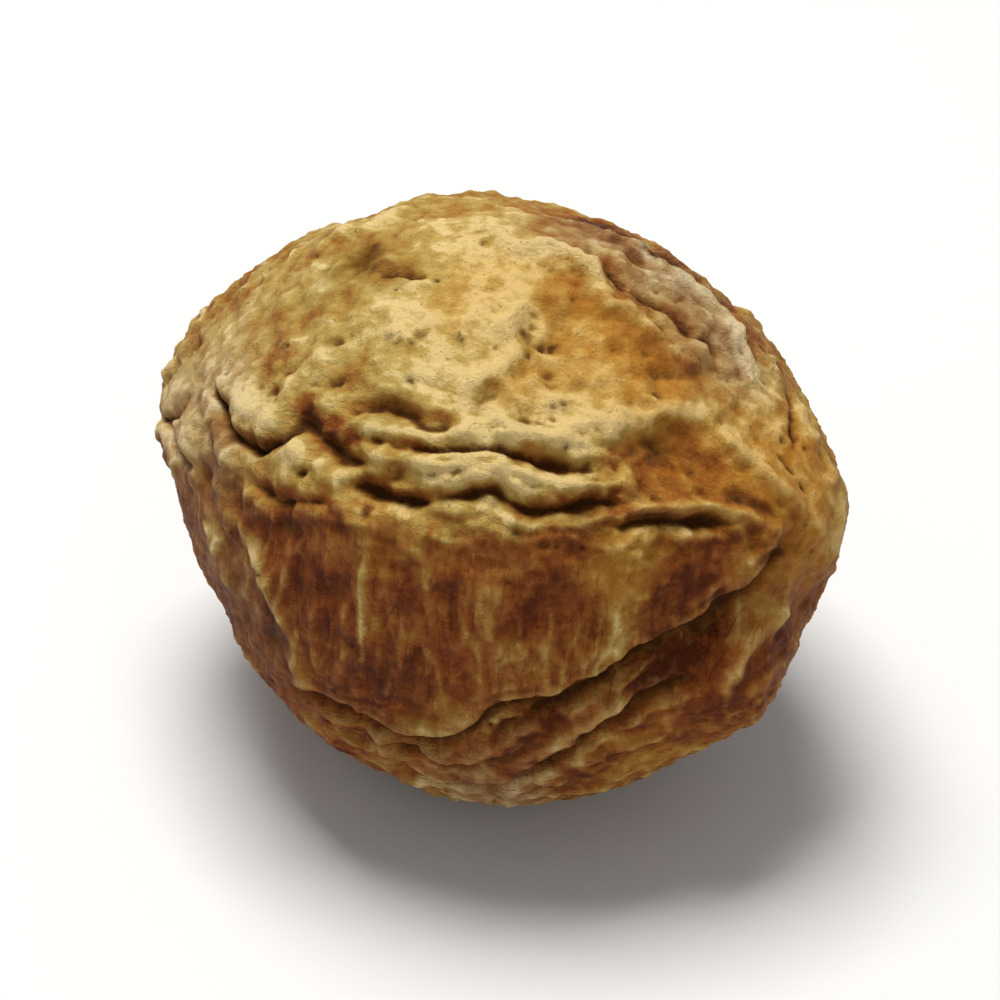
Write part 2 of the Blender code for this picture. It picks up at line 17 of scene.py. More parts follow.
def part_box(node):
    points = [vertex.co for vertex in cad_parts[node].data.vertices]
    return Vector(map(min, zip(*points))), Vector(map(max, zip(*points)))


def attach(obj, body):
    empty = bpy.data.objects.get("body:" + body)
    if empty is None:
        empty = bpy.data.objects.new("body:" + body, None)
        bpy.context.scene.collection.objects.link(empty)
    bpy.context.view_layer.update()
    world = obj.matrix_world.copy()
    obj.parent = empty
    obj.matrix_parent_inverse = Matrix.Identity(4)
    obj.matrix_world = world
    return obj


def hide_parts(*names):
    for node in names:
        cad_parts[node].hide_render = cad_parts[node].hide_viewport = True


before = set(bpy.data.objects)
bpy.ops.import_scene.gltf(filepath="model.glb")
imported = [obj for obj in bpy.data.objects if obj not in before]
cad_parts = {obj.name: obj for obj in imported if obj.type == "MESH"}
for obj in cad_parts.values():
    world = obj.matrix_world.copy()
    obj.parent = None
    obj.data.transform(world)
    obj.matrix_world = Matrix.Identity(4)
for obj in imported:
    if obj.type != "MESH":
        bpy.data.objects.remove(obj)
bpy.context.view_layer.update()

NODE = "dried_fruit"
MM = 0.001

# The fruit without its wrinkles: an ovoid whose girth is fullest a little toward the tip, and how
# bluntly it ends at the tip and at the stalk end. No line runs nearer to an end than END
HALF_LENGTH = 19.3 * MM
GIRTH_RADIUS = 18.2 * MM
FULLEST = 0.10
END = 0.999
TIP_POWERS = (1.85, 0.50)
STALK_POWERS = (2.40, 0.70)

# Lengthwise ribs: degrees around the fruit, height in millimetres, and spread in degrees
RIBS = (
    (-17, 1.0, 14), (55, 1.1, 14), (124, 1.0, 14), (199, 1.4, 11), (271, 1.3, 11),
)
RIB_MEAN = 0.30

# Broad uneven swells: place, reach in degrees seen from the middle, and height in millimetres
SWELLS = (
    ((-0.90, -60), 18, 2.0),
    ((-0.75, -38), 18, -0.2),
    ((0.30, -38), 20, -0.7),
    ((0.75, -38), 18, 0.2),
    ((0.97, 30), 14, 2.6),
    ((0.90, 142), 14, 0.3),
    ((0.55, 142), 20, 1.0),
    ((-0.80, 142), 18, -1.3),
    ((-0.97, 60), 16, 0.5),
    ((0.86, 112), 9, 2.0),
    ((0.96, 80), 8, -1.0),
)

# Creases in the skin: depth, half width, and height of the lip above and below in millimetres, for
# some the share of the length in which they fade out at each end, and the route
CREASES = {
    "fine line over the double crease": (0.55, 0.42, 0.12, 0.15, (
        (-0.26, 43), (-0.22, 41), (-0.16, 40), (-0.08, 40), (-0.01, 41), (0.05, 41), (0.12, 40))),
    "upper of the double crease": (0.75, 0.34, 0.22, 0.12, 0.35, (
        (-0.24, 49), (-0.19, 46), (-0.10, 46), (0.01, 46), (0.12, 45), (0.21, 44), (0.34, 44), (0.44, 44),
        (0.52, 42), (0.60, 39))),
    "valley from the notch": (0.90, 0.60, 0.15, 0.20, 0.30, (
        (-0.43, 41), (-0.37, 44), (-0.32, 46), (-0.27, 48), (-0.22, 50), (-0.16, 50), (-0.10, 50))),
    "hole of the lower crease": (1.20, 0.62, 0.15, 0.25, 0.30, (
        (-0.20, 53), (-0.15, 55), (-0.10, 56), (-0.03, 56), (0.03, 56), (0.09, 55), (0.14, 55))),
    "lower of the double crease": (0.90, 0.36, 0.15, 0.20, 0.30, (
        (0.02, 55), (0.10, 54), (0.17, 53), (0.23, 51), (0.27, 52), (0.32, 53), (0.37, 53), (0.42, 52),
        (0.49, 50), (0.57, 48), (0.66, 46))),
    "its end toward the tip": (0.95, 0.38, 0.20, 0.20, 0.25, (
        (0.54, 54), (0.60, 53), (0.66, 51), (0.72, 50), (0.78, 48), (0.83, 46))),
    "thin line over that": (0.25, 0.30, 0.05, 0.10, 0.35, (
        (0.72, 43), (0.77, 42), (0.82, 40), (0.87, 40), (0.91, 39))),
    "line toward the tip": (0.22, 0.38, 0.15, 0.10, 0.35, (
        (0.82, 12), (0.87, 17), (0.91, 23), (0.94, 29), (0.97, 36))),
    "notch between the rib and the tip": (0.50, 0.38, 0.10, 0.20, 0.35, (
        (0.85, -16), (0.87, -8), (0.88, 0), (0.89, 6), (0.90, 12))),
    "ragged notch by the stalk end": (0.90, 0.36, 0.20, 0.20, (
        (-0.76, 33), (-0.73, 38), (-0.68, 43), (-0.62, 49), (-0.55, 52), (-0.50, 53), (-0.45, 50),
        (-0.40, 47), (-0.36, 47))),
    "line round the stalk end": (0.60, 0.32, 0.15, 0.15, (
        (-0.98, 40), (-0.93, 53), (-0.87, 60), (-0.80, 63), (-0.72, 62))),
    "line under the notch": (0.40, 0.32, 0.15, 0.10, (
        (-0.54, 59), (-0.46, 61), (-0.38, 62), (-0.30, 60), (-0.22, 60))),
    "long lower furrow": (1.40, 0.55, 0.20, 0.15, 0.12, (
        (0.95, 50), (0.92, 57), (0.88, 69), (0.83, 76), (0.77, 82), (0.69, 86), (0.59, 91), (0.45, 96),
        (0.31, 98), (0.24, 103), (0.14, 108), (0.04, 110), (-0.11, 108), (-0.24, 107), (-0.42, 113))),
    "second line under it": (0.60, 0.30, 0.12, 0.15, (
        (0.62, 91), (0.56, 94), (0.48, 97), (0.40, 99), (0.32, 102), (0.26, 107))),
    "furrow below it": (1.00, 0.40, 0.20, 0.15, 0.12, (
        (0.80, 95), (0.73, 99), (0.67, 100), (0.62, 103), (0.54, 108), (0.46, 112), (0.38, 116),
        (0.29, 120), (0.17, 122), (0.05, 120), (-0.08, 116), (-0.18, 114), (-0.30, 116))),
    "line between the furrows": (0.70, 0.32, 0.15, 0.15, (
        (0.44, 106), (0.36, 108), (0.28, 112), (0.18, 115), (0.08, 114), (-0.04, 113), (-0.16, 111))),
    "wide bay of the long furrow": (0.90, 0.90, 0, 0, 0.35, (
        (0.93, 62), (0.89, 71), (0.84, 80), (0.78, 87), (0.71, 92), (0.63, 95), (0.55, 98))),
    "lowest line": (0.55, 0.34, 0.15, 0.10, (
        (0.44, 121), (0.36, 125), (0.27, 129), (0.16, 131), (0.04, 128), (-0.10, 123), (-0.24, 121))),
    "line beside the top rib": (0.45, 0.36, 0.15, 0.15, (
        (0.14, -8), (0.21, -6), (0.32, -4), (0.43, -1), (0.53, -2), (0.61, -1), (0.68, 0), (0.75, 6))),
    "line behind the top rib": (0.40, 0.36, 0.15, 0.15, (
        (0.30, -20), (0.42, -18), (0.54, -17), (0.64, -16), (0.73, -14), (0.80, -12))),
    "second line behind it": (0.40, 0.36, 0.10, 0.10, (
        (0.10, -24), (0.24, -25), (0.38, -24), (0.50, -22), (0.60, -22))),
    "short line on the top": (0.45, 0.32, 0.10, 0.10, (
        (-0.30, 9), (-0.22, 9), (-0.13, 10))),
}

# Raised folds: height and half width in millimetres, and route
FOLDS = {
    "over the upper crease": (0.25, 0.30, (
        (-0.22, 44), (-0.14, 44), (-0.07, 44), (0.01, 44), (0.08, 44))),
    "between the double crease": (0.30, 0.45, (
        (-0.12, 49), (-0.04, 49), (0.06, 49), (0.20, 48), (0.32, 48), (0.45, 46), (0.60, 46))),
    "its lip toward the tip": (0.35, 0.28, (
        (0.50, 48), (0.58, 48), (0.65, 48), (0.72, 46), (0.78, 44), (0.84, 43), (0.89, 44), (0.93, 46))),
    "puffed edge over the hollow": (0.55, 0.55, (
        (0.05, 40), (0.16, 41), (0.28, 40), (0.38, 38), (0.45, 33), (0.54, 31), (0.58, 28), (0.61, 24),
        (0.65, 20), (0.70, 18), (0.76, 17))),
    "from the hollow to the tip": (0.70, 0.32, (
        (0.72, 18), (0.75, 21), (0.79, 24), (0.83, 26), (0.87, 30), (0.90, 32), (0.93, 36))),
    "along the top": (0.60, 0.40, (
        (-0.11, -12), (0.00, -4), (0.09, -2), (0.17, -4), (0.25, -3), (0.34, 1), (0.39, 5), (0.45, 4),
        (0.53, 5), (0.59, 6), (0.65, 2))),
    "behind the top rib": (0.35, 0.45, (
        (0.16, -17), (0.27, -16), (0.37, -14), (0.48, -13), (0.58, -13), (0.68, -13), (0.75, -8),
        (0.82, -7))),
    "on the rib by the stalk end": (0.35, 0.45, (
        (-0.59, -16), (-0.50, -10), (-0.43, -8), (-0.37, -10), (-0.31, -13), (-0.24, -17), (-0.15, -14))),
    "beside the dimple": (0.20, 0.40, (
        (-0.37, -6), (-0.33, -1), (-0.29, 3), (-0.28, 7))),
    "across the top": (0.60, 0.44, (
        (0.16, 8), (0.17, 13), (0.15, 18), (0.18, 22), (0.17, 26), (0.12, 31), (0.11, 36))),
    "under the double crease": (0.30, 0.35, (
        (-0.24, 54), (-0.17, 56), (-0.08, 57), (0.00, 57), (0.08, 56), (0.16, 55))),
    "between the lower furrows": (0.35, 0.35, (
        (0.68, 95), (0.61, 99), (0.55, 103), (0.49, 105), (0.41, 108), (0.34, 110))),
    "over the long furrow": (0.40, 0.40, (
        (0.34, 97), (0.28, 102), (0.20, 103), (0.11, 105), (0.02, 106), (-0.10, 105))),
    "down the front": (0.30, 0.35, (
        (-0.14, 59), (-0.10, 65), (-0.09, 72), (-0.08, 78), (-0.08, 84), (-0.05, 89))),
    "down the front beside it": (0.20, 0.30, (
        (0.07, 66), (0.09, 72), (0.11, 77), (0.12, 82))),
    "down the middle of the front": (0.25, 0.35, (
        (0.22, 68), (0.26, 76), (0.30, 83), (0.32, 88))),
    "down the front by the tip": (0.30, 0.40, (
        (0.55, 64), (0.60, 74), (0.62, 82))),
    "down the front by the stalk end": (0.45, 0.35, (
        (-0.56, 66), (-0.50, 73), (-0.44, 79), (-0.38, 87), (-0.33, 94), (-0.30, 103), (-0.22, 105))),
    "down the stalk end": (0.35, 0.35, (
        (-0.70, 74), (-0.64, 81), (-0.61, 86), (-0.57, 94))),
    "down the tip": (0.50, 0.42, (
        (0.97, 76), (0.95, 83), (0.92, 86), (0.88, 90), (0.85, 95), (0.82, 101), (0.78, 106))),
}

# Round hollows, and with a minus sign round bumps: place, and depth and radius in millimetres
HOLLOWS = (
    ((0.64, 32), 0.95, 2.2), ((0.57, 36), 0.50, 1.6), ((0.74, 32), 0.45, 1.6), ((0.75, 89), 0.50, 1.8),
    ((-0.37, 4), 0.50, 1.3), ((-0.10, 27), -0.35, 4.5), ((0.28, 17), 0.70, 2.6), ((0.22, 27), 0.35, 1.4),
    ((0.42, 23), 0.40, 2.6), ((0.59, 12), 0.45, 2.0), ((0.48, 73), 0.40, 3.0), ((-0.24, 77), 0.40, 2.4),
    ((-0.37, 68), 0.45, 2.0), ((-0.39, 45), 0.50, 0.9), ((-0.33, 55), 0.40, 0.5), ((-0.71, 64), 0.50, 1.0),
    ((0.92, 52), 0.50, 0.9), ((-0.57, 44), -0.35, 1.1), ((-0.61, 39), -0.25, 1.0),
    ((-0.50, 47), -0.35, 1.0), ((-0.41, 54), -0.40, 1.0), ((-0.36, 50), -0.30, 0.7),
    ((-0.28, 54), -0.30, 0.8), ((-0.21, 55), -0.35, 0.9), ((-0.60, 57), -0.40, 1.1),
    ((-0.79, 52), -0.45, 1.5), ((-0.74, 36), -0.25, 1.0), ((-0.10, 48), -0.25, 0.6),
    ((0.03, 49), -0.25, 0.7), ((0.10, 49), -0.20, 0.6),
)

# The sides that the front view hides: a pair of creases on each rib, and shallower furrows and
# short cross folds on the faces between the ribs
BACK_RIBS = (199, 271)
BACK_FACES = (160, 235, 306)
RIB_PAIR_GAP = 7.0
FACE_FURROWS = 3
FACE_FURROW_GAP = 12.0
RIB_CREASE = (1.0 * MM, 1.5 * MM)
FACE_CREASE = (0.5 * MM, 0.9 * MM)
BACK_HALF_WIDTH = (0.40 * MM, 0.55 * MM)
BACK_REACH = (0.62, 0.93)
BACK_SWAY = 3.0
BACK_STOPS = 8
BACK_LIP = 0.2 * MM
BACK_FADE = 0.45
CROSS_FOLDS = 18
CROSS_LENGTH = (12, 26)
CROSS_ALONG, CROSS_AROUND, CROSS_LEAN = 0.7, 22, 0.08
CROSS_HEIGHT = 0.35 * MM
CROSS_HALF_WIDTH = 0.50 * MM
SEED = 7

# The scar where the stalk was, its rim (place and width as shares of its radius), and the short
# pleats that run out from it
SCAR_RADIUS = 1.7 * MM
SCAR_DEPTH = 0.9 * MM
SCAR_RIM = 0.4 * MM
RIM_PLACE, RIM_WIDTH = 1.5, 0.4
PLEATS = 11
PLEAT_SHIFT, PLEAT_BEND = 9, 4
PLEAT_DEPTH = 0.5 * MM
PLEAT_HALF_WIDTH = 0.4 * MM
PLEAT_FROM, PLEAT_TO = -0.985, -0.86

# Knobbly patches of the skin: place, reach, and size and height of the knobs, in millimetres
KNOBBLY = (
    ((-0.60, 50), 4.5, 1.8, 0.50),
    ((-0.55, 50), 5.0, 0.9, 0.28),
    ((-0.30, 50), 3.5, 1.1, 0.28),
    ((-0.02, 49), 2.5, 1.0, 0.18),
    ((0.24, 40), 3.5, 1.3, 0.35),
    ((0.15, 57), 4.0, 1.4, 0.16),
    ((0.15, 112), 4.0, 1.5, 0.20),
    ((-0.35, 104), 3.5, 1.4, 0.25),
    ((0.55, -6), 5.0, 1.3, 0.25),
    ((0.10, 4), 5.0, 1.6, 0.20),
)

# How much shallower and deeper a crease gets along its way
PATCHY_SIZE = 3.0 * MM
PATCHY_SHARE = 0.5

# How much narrower and wider it gets
UNEVEN_SIZE = 1.6 * MM
UNEVEN_SHARE = 0.6

# How far creases and folds stray from their smooth routes: size and shift
RAGGED = ((4.5 * MM, 0.20 * MM), (1.4 * MM, 0.13 * MM))

# A crease falls steeply on its upper side and gently on its lower one: shares of its half width.
# WALL_POWER is how sharply it falls
STEEP, GENTLE = 0.70, 1.25
WALL_POWER = 1.4

# In half widths: the reach of a crease and of a fold, and the place and width of a crease's lips
CREASE_REACH, FOLD_REACH = 6, 4
LIP_PLACE, LIP_WIDTH = 2.2, 1.2

# The share of its length in which a crease, a fold and a thin line fade out at each end
CREASE_FADE, FOLD_FADE, LINE_FADE = 0.18, 0.25, 0.2

# How wide the middle of anything round is, as a share of its radius
ROUND = 0.6

# Uneven lumps of the whole skin, and the net of small wrinkles on it: size and height
LUMPS = ((7.0 * MM, 0.30 * MM), (2.6 * MM, 0.15 * MM))
WRINKLES = ((3.0 * MM, 0.55 * MM), (1.5 * MM, 0.30 * MM))
WRINKLE_MEAN = 0.20

# The wrinkles run lengthwise, but around the fruit on its front face, and are fainter on its pale top
LENGTH_STRETCH = (0.40, 1.2, 1.2)
CROSS_STRETCH = (1.5, 0.45, 0.45)
FRONT_FACE = (82, 17)
PALE_TOP = (16, 20)
TOP_SHARE = 0.35

# Fine relief that shows only close up: size and height. The front has less grain
GRAIN = ((1.3 * MM, 0.17 * MM), (0.6 * MM, 0.10 * MM), (0.38 * MM, 0.06 * MM))
FINE_WRINKLES = ((0.9 * MM, 0.24 * MM), (0.5 * MM, 0.12 * MM))
FRONT_GRAIN = 0.6

# Roughness and fine lines that follow the long creases on both of their sides
RIPPLED = (
    "upper of the double crease", "hole of the lower crease", "lower of the double crease",
    "its end toward the tip", "long lower furrow", "furrow below it", "line beside the top rib",
    "line behind the top rib",
)
RIPPLE_GAP = 0.85 * MM
RIPPLE_HEIGHT = 0.12 * MM
RIPPLE_REACH = 1.5 * MM
RIPPLE_START = (0.4 * MM, 0.8 * MM)
RIPPLE_PATCHES = 2 * MM
ROUGH_BESIDE = ((1.2 * MM, 0.28 * MM), (0.6 * MM, 0.16 * MM))
ROUGH_STRETCH = (0.6, 1.2, 1.2)

# Pin holes in the skin, and the larger ones that show on the top. Their edges are uneven: size and
# shift
PITS = 90
PIT_RADIUS = (0.14 * MM, 0.26 * MM)
PIT_DEPTH = (0.08 * MM, 0.20 * MM)
TOP_PITS = (
    (-0.08, 24), (-0.14, 26), (-0.18, 25), (-0.33, 26), (0.03, 23), (0.23, 22), (0.25, 19), (0.29, 18),
    (-0.07, 34), (0.34, 32), (0.36, 31), (0.59, 20), (-0.31, 36), (-0.51, 26), (0.33, 58), (-0.10, 59)
)
TOP_PIT_RADIUS = 0.30 * MM
TOP_PIT_DEPTH = 0.20 * MM
PIT_EDGES = (0.6 * MM, 0.25 * MM)

# How finely the skin is modelled
SPHERE_STEPS = 8
TRIANGLES = 196000

# How pale the skin is, from 0 dark brown to 1 cream. On the front it depends on how many degrees
# below the pale top's edge a place is, and elsewhere on its turn around the fruit. Both sway:
# degrees, size of the sways, and the part of the noise that is used
PALE_EDGE = (
    (-1.00, 66), (-0.75, 62), (-0.45, 58), (-0.20, 55), (0.10, 54), (0.35, 52), (0.50, 46), (0.62, 34),
    (0.75, 30), (0.90, 40), (1.00, 45)
)
FRONT_PALENESS = (
    (-60, 0.81), (-8, 0.88), (-2, 0.78), (3, 0.61), (9, 0.51), (18, 0.46), (34, 0.44), (52, 0.40), (90, 0.42)
)
BACK_PALENESS = ((-180, 0.42), (-130, 0.38), (-85, 0.43), (-45, 0.54), (-15, 0.74), (5, 0.80))
SWAY = ((14, 2.4 * MM, 5), (10, 7.0 * MM, 8))
EDGE_SWAY = 0.5
UNDERSIDE = (135, 175)

# Uneven paleness: size and strength. It is drawn out a little lengthwise, and into weaker streaks
# around the fruit on the front
UNEVEN_PALENESS = ((5.0 * MM, 0.10), (2.2 * MM, 0.16), (1.1 * MM, 0.18), (0.6 * MM, 0.16))
SPECKLE_STRETCH = (0.8, 1.1, 1.1)
STREAK_STRETCH = (1.5, 0.5, 0.5)
STREAK_SHARE = 0.65
NOISE_PART = 9

# Painted light on the crests of the wrinkles and painted shade in their dips: size of the wrinkles,
# how wide the crest is, and how much paler
CRESTS_PAINTED_LIGHT = ((3.0 * MM, 0.12, 0.20), (1.5 * MM, 0.14, 0.14), (0.9 * MM, 0.14, 0.08))
CREST_MEAN = 0.35

# Painted light and shade from above: the sides of wrinkles that look up are painted paler than those
# that look down: by how much, the tilt at which that is full, and how much of it the front has
UPWARD_PAINTED_LIGHT = 0.55
UPWARD_REACH = 0.5
FRONT_UPWARD = 0.6

# How much of the crests' painted light, the unevenness, the hollows' painted shade and the upward
# sides' painted light is left on the back and underneath, and the turns between which these sides begin
BACK_CRESTS = 0.45
BACK_UNEVEN, BACK_SUNK, BACK_UPWARD = 0.6, 0.6, 0.6
BEHIND_TOP, BEHIND_FRONT = (20, 45), (125, 150)

# Painted shade on sunk skin and painted light on raised skin, against the skin near by and farther
# off, which is found by evening it out so many times: where it begins and is full. Deep furrows keep
# their painted shade behind too
NEAR_BLUR, FAR_BLUR = 8, 120
NEAR_SUNK, FAR_SUNK = (0.02 * MM, 0.16 * MM), (0.06 * MM, 0.70 * MM)
NEAR_RAISED, FAR_RAISED = (0.01 * MM, 0.12 * MM), (0.05 * MM, 0.45 * MM)
NEAR_SHARE = 0.5
DEEP = (0.5, 1.0)
FRONT_SPREAD = 1.4

# The edges of patches and lines are uneven: size and shift, one after the other
PATCH_EDGES = ((2.4 * MM, 0.9 * MM), (0.9 * MM, 0.35 * MM))

# Small patches: place, radius in millimetres, and how much paler, or darker with a minus sign. Some are
# the skin's own patches; the pale ones on the small round bumps and under the lips are painted light,
# and the dark ones in the round hollows are painted shade
SPOTS = (
    ((-0.15, 22), 2.2, 0.14), ((0.04, 30), 3.4, 0.22), ((0.16, 12), 1.9, 0.28), ((0.27, -3), 1.6, 0.30),
    ((0.34, 1), 1.4, 0.22), ((0.46, 21), 2.2, 0.22), ((0.20, 41), 2.4, 0.22), ((0.37, 36), 2.0, 0.20),
    ((0.55, 31), 1.6, 0.20), ((-0.57, 44), 1.3, 0.22), ((-0.61, 39), 1.2, 0.20), ((-0.50, 46), 1.0, 0.16),
    ((-0.41, 54), 1.3, 0.26), ((-0.36, 50), 0.9, 0.20), ((-0.22, 54), 1.3, 0.28), ((-0.75, 54), 1.8, 0.18),
    ((-0.60, 57), 1.4, 0.14), ((-0.10, 48), 0.8, 0.36), ((0.03, 48), 0.9, 0.40), ((0.10, 49), 0.8, 0.30),
    ((0.30, 49), 1.2, 0.24), ((0.00, 59), 1.8, 0.22), ((0.12, 58), 1.6, 0.22), ((0.62, 58), 1.8, 0.26),
    ((0.59, 70), 2.0, 0.20), ((0.33, 57), 1.2, 0.22), ((0.28, 82), 2.5, 0.14), ((0.20, 103), 2.0, 0.28),
    ((0.62, 81), 1.8, 0.20), ((0.86, 58), 2.0, 0.16), ((-0.35, -9), 2.2, 0.14), ((0.04, -2), 3.0, 0.26),
    ((-0.20, -6), 3.0, 0.20), ((0.16, 38), 2.0, 0.16), ((0.37, 38), 1.8, 0.20), ((0.22, 56), 1.4, 0.22),
    ((0.12, 48), 1.4, 0.14), ((0.60, 68), 2.0, 0.10), ((0.84, 4), 2.0, 0.10), ((0.66, 116), 3.0, 0.14),
    ((0.02, 12), 3.0, 0.12), ((-0.15, 18), 3.0, 0.12), ((0.66, 62), 1.6, 0.12), ((0.98, 60), 3.0, 0.14),
    ((-0.52, 84), 3.0, 0.12), ((0.24, 126), 4.0, 0.18), ((0.11, 78), 2.6, 0.12), ((0.66, 60), 2.2, 0.10),
    ((0.92, 44), 3.0, 0.08), ((0.12, 48), 2.2, 0.14), ((-0.28, 54), 1.2, 0.26), ((0.23, 49), 1.0, 0.24),
    ((0.36, 49), 1.0, 0.26), ((0.95, 46), 2.8, 0.08), ((0.12, 51), 1.4, 0.14), ((-0.37, 4), 2.2, -0.38),
    ((-0.39, 14), 2.0, -0.16), ((-0.60, 20), 3.4, -0.14), ((0.00, 19), 2.2, -0.12),
    ((0.36, 16), 3.0, -0.16), ((0.24, 5), 2.2, -0.12), ((0.58, 12), 2.4, -0.18), ((0.16, 32), 1.3, -0.16),
    ((0.25, 27), 1.6, -0.12), ((0.69, 25), 1.8, -0.24), ((0.64, 32), 2.6, -0.22), ((0.58, 36), 2.0, -0.12),
    ((-0.40, 43), 1.4, -0.22), ((-0.52, 66), 2.2, -0.12), ((-0.36, 68), 2.2, -0.20),
    ((-0.28, 84), 2.6, -0.10), ((0.05, 78), 2.4, -0.10), ((0.40, 70), 3.0, -0.12), ((0.34, 77), 2.0, -0.08),
    ((0.75, 61), 2.0, -0.22), ((0.76, 88), 3.0, -0.16), ((0.66, 3), 3.0, -0.18), ((0.50, -20), 3.5, -0.20),
    ((0.30, -24), 3.5, -0.20), ((0.68, -22), 3.0, -0.16), ((-0.30, 47), 1.8, -0.20),
    ((0.91, 20), 3.5, -0.20), ((0.25, -17), 2.4, -0.30), ((0.66, 34), 2.4, -0.10),
    ((-0.62, 56), 2.4, -0.24), ((-0.74, 52), 2.6, -0.12), ((-0.57, 25), 3.0, -0.10),
    ((0.52, 16), 2.0, -0.12), ((-0.04, 92), 2.6, -0.10), ((-0.08, 98), 2.0, -0.10),
    ((-0.71, 64), 1.6, -0.16), ((0.94, 30), 4.0, -0.10), ((0.79, 62), 2.0, -0.10),
)

# Paler and darker lines: route, half width in millimetres, and strength. The pale lines run along the
# crests of the folds and ridges and are painted light; the dark lines mostly follow the creases and
# furrows and are painted shade there, and those down the front are darker streaks of the skin
PALE_LINES = (
    (FOLDS["across the top"][-1], 0.45, 0.34),
    (FOLDS["along the top"][-1][:7], 0.40, 0.42),
    (FOLDS["along the top"][-1][6:], 0.35, 0.42),
    (FOLDS["behind the top rib"][-1][:6], 0.30, 0.34),
    (((0.58, -13), (0.68, -13), (0.75, -8), (0.82, -7), (0.86, -2)), 0.45, 0.42),
    (FOLDS["on the rib by the stalk end"][-1][:6], 0.40, 0.28),
    (((0.05, 40), (0.16, 42), (0.28, 40), (0.38, 38), (0.45, 33), (0.54, 31)), 0.60, 0.26),
    (((0.45, 32), (0.54, 31), (0.58, 28), (0.61, 24), (0.65, 20), (0.70, 18), (0.76, 16)), 0.40, 0.46),
    (((0.73, 19), (0.76, 21), (0.79, 24), (0.83, 26), (0.87, 30), (0.90, 32)), 0.34, 0.46),
    (((0.86, 18), (0.90, 23), (0.93, 30)), 0.40, 0.18),
    (((0.88, -12), (0.90, -6), (0.93, -8), (0.95, -3), (0.97, 2), (0.98, 25)), 0.50, 0.28),
    (FOLDS["over the upper crease"][-1], 0.25, 0.22),
    (((0.12, 48), (0.24, 48), (0.35, 48), (0.45, 47), (0.51, 48)), 0.35, 0.22),
    (((0.50, 48), (0.58, 48), (0.65, 48), (0.70, 47)), 0.28, 0.42),
    (((0.66, 54), (0.71, 51), (0.75, 48), (0.78, 44), (0.80, 43), (0.84, 43), (0.88, 44)), 0.28, 0.38),
    (FOLDS["under the double crease"][-1][:5], 0.32, 0.30),
    (((0.20, 52), (0.27, 54), (0.33, 55), (0.40, 54), (0.46, 52)), 0.30, 0.28),
    (FOLDS["down the front"][-1], 0.35, 0.30),
    (FOLDS["down the front beside it"][-1], 0.28, 0.26),
    (FOLDS["down the middle of the front"][-1], 0.45, 0.22),
    (((0.30, 76), (0.36, 84), (0.42, 90)), 0.30, 0.18),
    (((0.58, 70), (0.60, 77), (0.62, 84)), 0.40, 0.20),
    (FOLDS["down the front by the stalk end"][-1][:6], 0.32, 0.34),
    (((-0.47, 72), (-0.41, 80), (-0.36, 88)), 0.28, 0.22),
    (((-0.40, 110), (-0.30, 104), (-0.22, 105), (-0.12, 105)), 0.30, 0.32),
    (FOLDS["down the stalk end"][-1], 0.35, 0.30),
    (FOLDS["between the lower furrows"][-1], 0.30, 0.40),
    (((0.65, 106), (0.59, 110), (0.53, 112), (0.47, 115), (0.39, 118), (0.33, 122)), 0.30, 0.26),
    (((0.34, 97), (0.28, 102), (0.20, 104), (0.11, 105), (0.02, 106)), 0.35, 0.30),
    (((0.62, 86), (0.52, 91), (0.42, 95), (0.34, 96)), 0.35, 0.22),
    (FOLDS["down the tip"][-1][:6], 0.38, 0.34),
)
